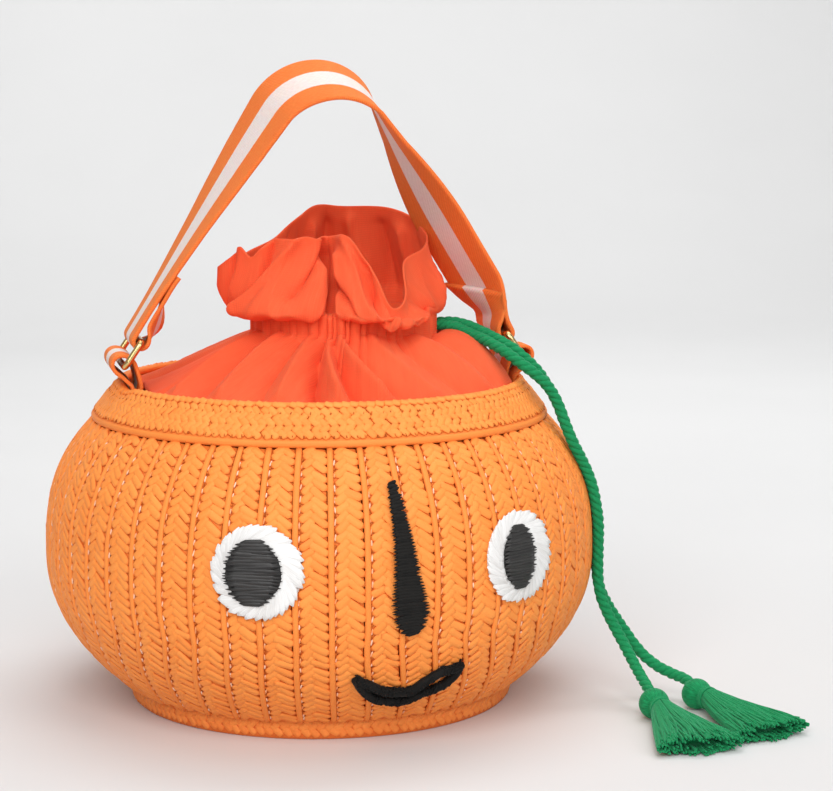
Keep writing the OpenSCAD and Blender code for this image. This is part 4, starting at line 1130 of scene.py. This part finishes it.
def ribbon_section(width, thickness):
    flat = np.linspace(-1, 1, 15)
    turn = np.radians(np.linspace(60, -60, 3))
    half_w, half_t = width / 2 - thickness / 2, thickness / 2
    across = np.concatenate([flat * half_w, half_w + half_t * np.cos(turn),
                             -flat * half_w, -half_w - half_t * np.cos(turn)])
    face = np.concatenate([0 * flat + half_t, half_t * np.sin(turn),
                           0 * flat - half_t, -half_t * np.sin(turn)])
    return across, face


def ribbon_piece(name, path, turn, forward, slant, thickness):
    ahead = np.gradient(path, axis=0)
    ahead /= np.linalg.norm(ahead, axis=1, keepdims=True)
    out = np.stack([ahead[:, 1], 0 * turn, -ahead[:, 0]], 1)
    side = np.array([0.0, 1.0, 0.0])
    cos, sin = np.cos(np.radians(turn))[:, None], np.sin(np.radians(turn))[:, None]
    wide, front = cos * side + sin * out, cos * out - sin * side
    middle = np.stack([path[:, 0], forward, path[:, 1]], 1)
    across, face = ribbon_section(STRAP_W, thickness)
    rings = middle[:, None] + across[None, :, None] * wide[:, None] + face[None, :, None] * front[:, None]
    onward = np.stack([ahead[:, 0], 0 * turn, ahead[:, 1]], 1)
    rings = rings + (2 * across / STRAP_W)[None, :, None] * (slant[:, None] * onward)[:, None]
    return make_piece(name, *skin(rings), material=webbing, values={"across": np.tile(across, len(path))})


# %% Turn and lean of the strap along its path
RIGHT_TURN, LEFT_TURN, TOP_TURN, LEAN = -26, 11, 34, -22
TURN_KEPT = 75
strap_path = np.concatenate([right_half, left_half[-2::-1] * (-1, 1)])
number = np.arange(len(strap_path))
up = (np.stack([np.abs(strap_path[:, 0]), strap_path[:, 1]], 1) - INNER_BAR) @ leg_along
up_share = np.clip(up / top_up, 0, 1)
on_right = number < len(right_half)
leg_turn = np.where(on_right, RIGHT_TURN * ease((up - 1) / 24), LEFT_TURN * ease((up - 6.56) / 80))
twist = leg_turn + (TOP_TURN - leg_turn) * ease((up_share - 0.37) / 0.8)
twist[TURN_KEPT:-TURN_KEPT] = smoothed(twist, 200)[TURN_KEPT:-TURN_KEPT]
right_ply, left_ply = number < right_back, number >= len(strap_path) - left_back
twist = np.where(right_ply | left_ply, -twist, twist)
twist += np.where(left_ply, 15 * ease((up + 3) / 12) * (1 - ease((up - 8) / 20)), 0)
slant = np.where(right_ply, -6 * ease((up - 5) / 14), 0)
forward = LEAN * up_share ** 2.2
strap = ribbon_piece("handle_webbing", strap_path + (0, AXIS_Z), twist, forward, slant, STRAP_T)
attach(strap, "handle")
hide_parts("handle_strap")
print("strap", triangles(strap))

# %% Tabs that hold the rings to the rim
TAB_T, TAB_LOOP_LONG, TAB_LOOP_SHORT = 1.7, 5.55, 4.5
bar, root, tail = np.array([91.0, AXIS_Z]), np.array([85.54, 146.0]), np.array([91.8, 134.0])
slope, over = heading(34), heading(124)
inner_root = root + (-1.1 * PLY_STEP, 0)
inner_tail = tail + (-1.3 * PLY_STEP, 0)
tab_loop = [bar + TAB_LOOP_LONG * math.cos(t) * slope + TAB_LOOP_SHORT * math.sin(t) * over
            for t in np.radians(np.linspace(-88, 140, 20))]
tab_path = ([tail + (root - tail) * s for s in np.linspace(0, 1, 6)] + tab_loop + [inner_root + (0.9, 3.0)]
            + [inner_root + (inner_tail - inner_root) * s for s in np.linspace(0, 1, 6)])
tab_path = smoothed(np.array(tab_path), 1)
still = np.zeros(len(tab_path))
for side, sign in (("right", 1), ("left", -1)):
    line = tab_path * (sign, 1)
    if sign < 0:
        line = line[::-1]
    tab = ribbon_piece(f"{side}_tab", line, still, still, still, TAB_T)
    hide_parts(f"tab_{side}")
    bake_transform(tab)
    print("tab", side, triangles(tab))

# %% [markdown]
# ## Face
# The face is stitched through the wall: white raffia laid slantwise round each eye, dark raffia in level
# rows for the pupils, and black wool for the nose and the mouth. Every strip is set on the wall's own curve
# and pointed along its stitch.

# %% Raffia finishes
def raffia_finish(name, light, dark, rough):
    material, tree, shader = start_material(name, Roughness=rough, Specular_IOR_Level=0.45)
    place = add(tree, "ShaderNodeTexCoord").outputs["UV"]
    fibre = noise(tree, stretched(tree, place, (0.08, 3.2, 1)), 1.0)
    tone = maths(tree, "MULTIPLY_ADD", kept_number(tree, "shade"), 0.5, fibre)
    tree.links.new(ramp(tree, tone, [(0.35, dark), (0.75, light)]), shader.inputs["Base Color"])
    bump(tree, shader, fibre, 0.4, 0.0004)
    return material


white_raffia = raffia_finish("white_raffia", (0.84, 0.83, 0.82), (0.7, 0.68, 0.66), 0.55)
black_raffia = raffia_finish("black_raffia", (0.03, 0.028, 0.027), (0.01, 0.009, 0.009), 0.38)


# %% Lay pads and strips on the wall
PAD_SIDES = 48


def on_wall(azimuth, z, x, y, lift):
    z = z + np.asarray(y, float)
    point, right, up, out = wall_frame(azimuth + np.degrees(np.asarray(x, float) / wall_r(z)), z)
    return point + lift * out, right, up, out


def wall_pad(name, azimuth, z, shift, half_w, half_h, low, high, material):
    angle = np.arange(PAD_SIDES) * math.tau / PAD_SIDES
    x, y = half_w * np.cos(angle), half_h * np.sin(angle)
    steps = ((0.05, low), (0.97, low), (1.0, (low + high) / 2), (0.96, high - 0.25), (0.85, high),
             (0.5, high + 0.3), (0.05, high + 0.4))
    rings = [on_wall(azimuth, z, shift + share * x, share * y, lift)[0] for share, lift in steps]
    return make_piece(name, *skin(rings), material=material)


def laid_between(azimuth, z, first, last, lift, width, thick, roll=0.0):
    middle, step = (first + last) / 2, last - first
    point, right, up, out = on_wall(azimuth, z, middle[:, 0], middle[:, 1], lift)
    right, up = spun(right, up, np.arctan2(step[:, 1], step[:, 0]))
    up, out = up * math.cos(roll) + out * math.sin(roll), out * math.cos(roll) - up * math.sin(roll)
    size = np.stack([np.hypot(*step.T), np.full(len(step), width), np.full(len(step), thick)], 1)
    return point, right, up, out, size


# %% Eyes
EYE_Z, WHITE_R, WHITE_STRIPS = 81.0, 19.6, 44
PUPIL_SHIFT, PUPIL_ROWS = -1.5, 21
rng = np.random.default_rng(61)
for side, eye_at, half_w in (("left", -112.0, 12.7), ("right", -58.0, 10.0)):
    angle = np.arange(WHITE_STRIPS) * math.tau / WHITE_STRIPS + rng.normal(0, 0.02, WHITE_STRIPS)
    inner = np.stack([PUPIL_SHIFT + 0.84 * half_w * np.cos(angle), 11.0 * np.sin(angle)], 1)
    far = angle - math.radians(34) + rng.normal(0, 0.03, WHITE_STRIPS)
    reach = WHITE_R + rng.normal(0, 0.35, WHITE_STRIPS)
    outer = np.stack([reach * np.cos(far), reach * np.sin(far)], 1)
    strips = laid_between(eye_at, EYE_Z, inner, outer, 2.15, 4.3, 0.9, math.radians(5))
    white = join(f"eye_white_{side}_raffia", [
        set_in_rows("white_strips", strip, *strips, white_raffia, 71, 0.02),
        wall_pad("white_pad", eye_at, EYE_Z, 0, 18.4, 18.4, 0.6, 1.5, white_raffia)])
    level = np.linspace(-12.4, 12.4, PUPIL_ROWS)
    reach = half_w * np.sqrt(1 - (level / 13.6) ** 2)
    tilt = rng.normal(0, 0.35, PUPIL_ROWS)
    first = np.stack([PUPIL_SHIFT - reach + rng.normal(0, 0.22, PUPIL_ROWS), level - tilt], 1)
    last = np.stack([PUPIL_SHIFT + reach + rng.normal(0, 0.22, PUPIL_ROWS), level + tilt], 1)
    strips = laid_between(eye_at, EYE_Z, first, last, 3.2, 2.0, 0.9)
    pupil = join(f"eye_pupil_{side}_raffia", [
        set_in_rows("pupil_rows", strip, *strips, black_raffia, 72, 0.04),
        wall_pad("pupil_pad", eye_at, EYE_Z, PUPIL_SHIFT, half_w - 0.4, 12.8, 2.0, 2.8, black_raffia)])
    for piece, node, slot in ((white, "eye_white", "white_raffia"), (pupil, "eye_pupil", "black_raffia")):
        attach(piece, "bag")
        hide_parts(f"{node}_{side}")
    print("eye", side, triangles(white), triangles(pupil))

# %% Nose
NOSE_AT, NOSE_Z, NOSE_L, NOSE_STITCHES = -84.0, 85.0, 60, 50
share = np.linspace(0, 1, NOSE_STITCHES)
half_w = np.interp(share, [0, 0.03, 0.07, 0.13, 0.2, 0.3, 0.5, 0.7, 0.9, 1],
                   [3.6, 5.8, 7.2, 8.0, 7.9, 6.9, 5.3, 4.1, 2.9, 2.2])
middle = 6 * (0.5 - share)
height = -NOSE_L / 2 + NOSE_L * share
tilt = rng.normal(0.4, 0.25, NOSE_STITCHES)
first = np.stack([middle - half_w + rng.normal(0, 0.3, NOSE_STITCHES), height - tilt], 1)
last = np.stack([middle + half_w + rng.normal(0, 0.3, NOSE_STITCHES), height + tilt], 1)
strips = laid_between(NOSE_AT, NOSE_Z, first, last, 2.4, 1.7, 1.7)
nose = set_in_rows("nose_wool", strip, *strips, black_wool, 75, 0.03)
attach(nose, "bag")
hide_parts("nose")

# %% Mouth
# azimuth and height of the two wool strands
upper = np.array([[-92.8, 36.5], [-89.9, 33.1], [-86.4, 29.9], [-82.9, 28.6], [-80.0, 29.0], [-77.8, 32.7],
                  [-75.9, 35.2], [-73.8, 37.2], [-70.5, 37.9]])
lower = np.array([[-93.1, 33.5], [-91.3, 28.0], [-88.7, 23.7], [-85.1, 21.5], [-81.6, 20.9], [-79.3, 22.0],
                  [-77.3, 24.0], [-74.9, 25.2], [-72.6, 27.0], [-70.9, 31.0], [-70.3, 36.5]])
FUZZ_HAIRS = 7
strands, fuzz = [], []
for line, shift in ((upper, -1.5), (lower, 1.5)):
    fine = eased_line(line + (0, shift), 8)
    count = len(fine)
    point, right, up, out = wall_frame(fine[:, 0], fine[:, 1])
    lump = np.interp(np.arange(count), np.arange(0, count + 4, 4), rng.normal(0, 0.3, count // 4 + 2))
    strands.append(point + 2.3 * out + lump[:, None] * up)
    for _ in range(FUZZ_HAIRS):
        wave = np.cumsum(rng.normal(0, 0.9, count))
        fuzz.append(point + (2.4 + 2.0 * np.sin(wave))[:, None] * out + (2.4 * np.cos(wave))[:, None] * up)
mouth = join("mouth_wool", [
    grow(edge_piece("mouth_strands", strands), yarn_tree,
         {"Yarn": black_wool, "Radius": 0.002, "Step count": 90, "Sides": 8}),
    grow(edge_piece("mouth_fuzz", fuzz), yarn_tree,
         {"Yarn": black_wool, "Radius": 0.00028, "Step count": 160, "Sides": 4})])
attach(mouth, "bag")
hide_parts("mouth")
print("nose and mouth", triangles(nose), triangles(mouth))

# %% [markdown]
# ## Studio
# The photo is a product shot on white: a pale sweep of paper, broad soft light from the front left and from
# above, and a faint shadow on the right. The floor turns up into a backdrop far behind the bag.

# %% Floor, sky and lamps
FLOOR_NEAR, FLOOR_FAR, FLOOR_SIDE = -3000.0, 1500.0, 5000.0
SWEEP_R, WALL_TOP = 900.0, 4000.0
paper, *_ = mottled("pale_paper", 3.0, 3.0, [(0.3, (0.69, 0.69, 0.69)), (0.7, (0.71, 0.71, 0.71))],
                    Roughness=0.9, Specular_IOR_Level=0.1)
bend = [heading(angle) for angle in np.linspace(0, 90, 12)[1:]]
sweep = ([(FLOOR_NEAR, 0.0), (FLOOR_FAR, 0.0)]
         + [(FLOOR_FAR + SWEEP_R * sin, SWEEP_R - SWEEP_R * cos) for cos, sin in bend]
         + [(FLOOR_FAR + SWEEP_R, WALL_TOP)])
paper_rows = np.array([[[x, y, z] for x in (-FLOOR_SIDE, FLOOR_SIDE)] for y, z in sweep])
floor = make_piece("paper_sweep", *skin(paper_rows, ring_closed=False), material=paper)

world = bpy.data.worlds.new("studio")
bpy.context.scene.world = world
world.use_nodes = True
sky = world.node_tree.nodes["Background"].inputs
sky["Color"].default_value = (1.0, 1.0, 1.0, 1)
to_camera = add(world.node_tree, "ShaderNodeLightPath").outputs["Is Camera Ray"]
world.node_tree.links.new(maths(world.node_tree, "MULTIPLY_ADD", to_camera, 0.5, 0.3), sky["Strength"])


def soft_lamp(name, place, aim, size, power):
    lamp = bpy.data.lights.new(name, "AREA")
    lamp.shape = "DISK"
    lamp.size = size
    lamp.energy = power
    stand = in_scene(name, lamp)
    stand.location = place
    stand.rotation_euler = (Vector(aim) - Vector(place)).to_track_quat("-Z", "Y").to_euler()


soft_lamp("key", (-0.75, -1.9, 1.55), (0, 0, 0.12), 2.0, 43)
soft_lamp("fill", (1.0, -1.7, 1.1), (0, 0, 0.15), 1.4, 12)
soft_lamp("top", (0.2, 0.0, 1.9), (0, 0, 0.1), 1.6, 8)
soft_lamp("backdrop", (0.5, 0.8, 1.9), (0.4, 2.4, 0.4), 2.0, 27)
bpy.context.scene.view_settings.view_transform = "Standard"
print("floor, sky and lamps set")

# %% [markdown]
# ## Finish
# The small shapes were only patterns for the node tree, so they go.

# %% Tidy up and finish
for shape in (grain, strip, stitch):
    bpy.data.objects.remove(shape)
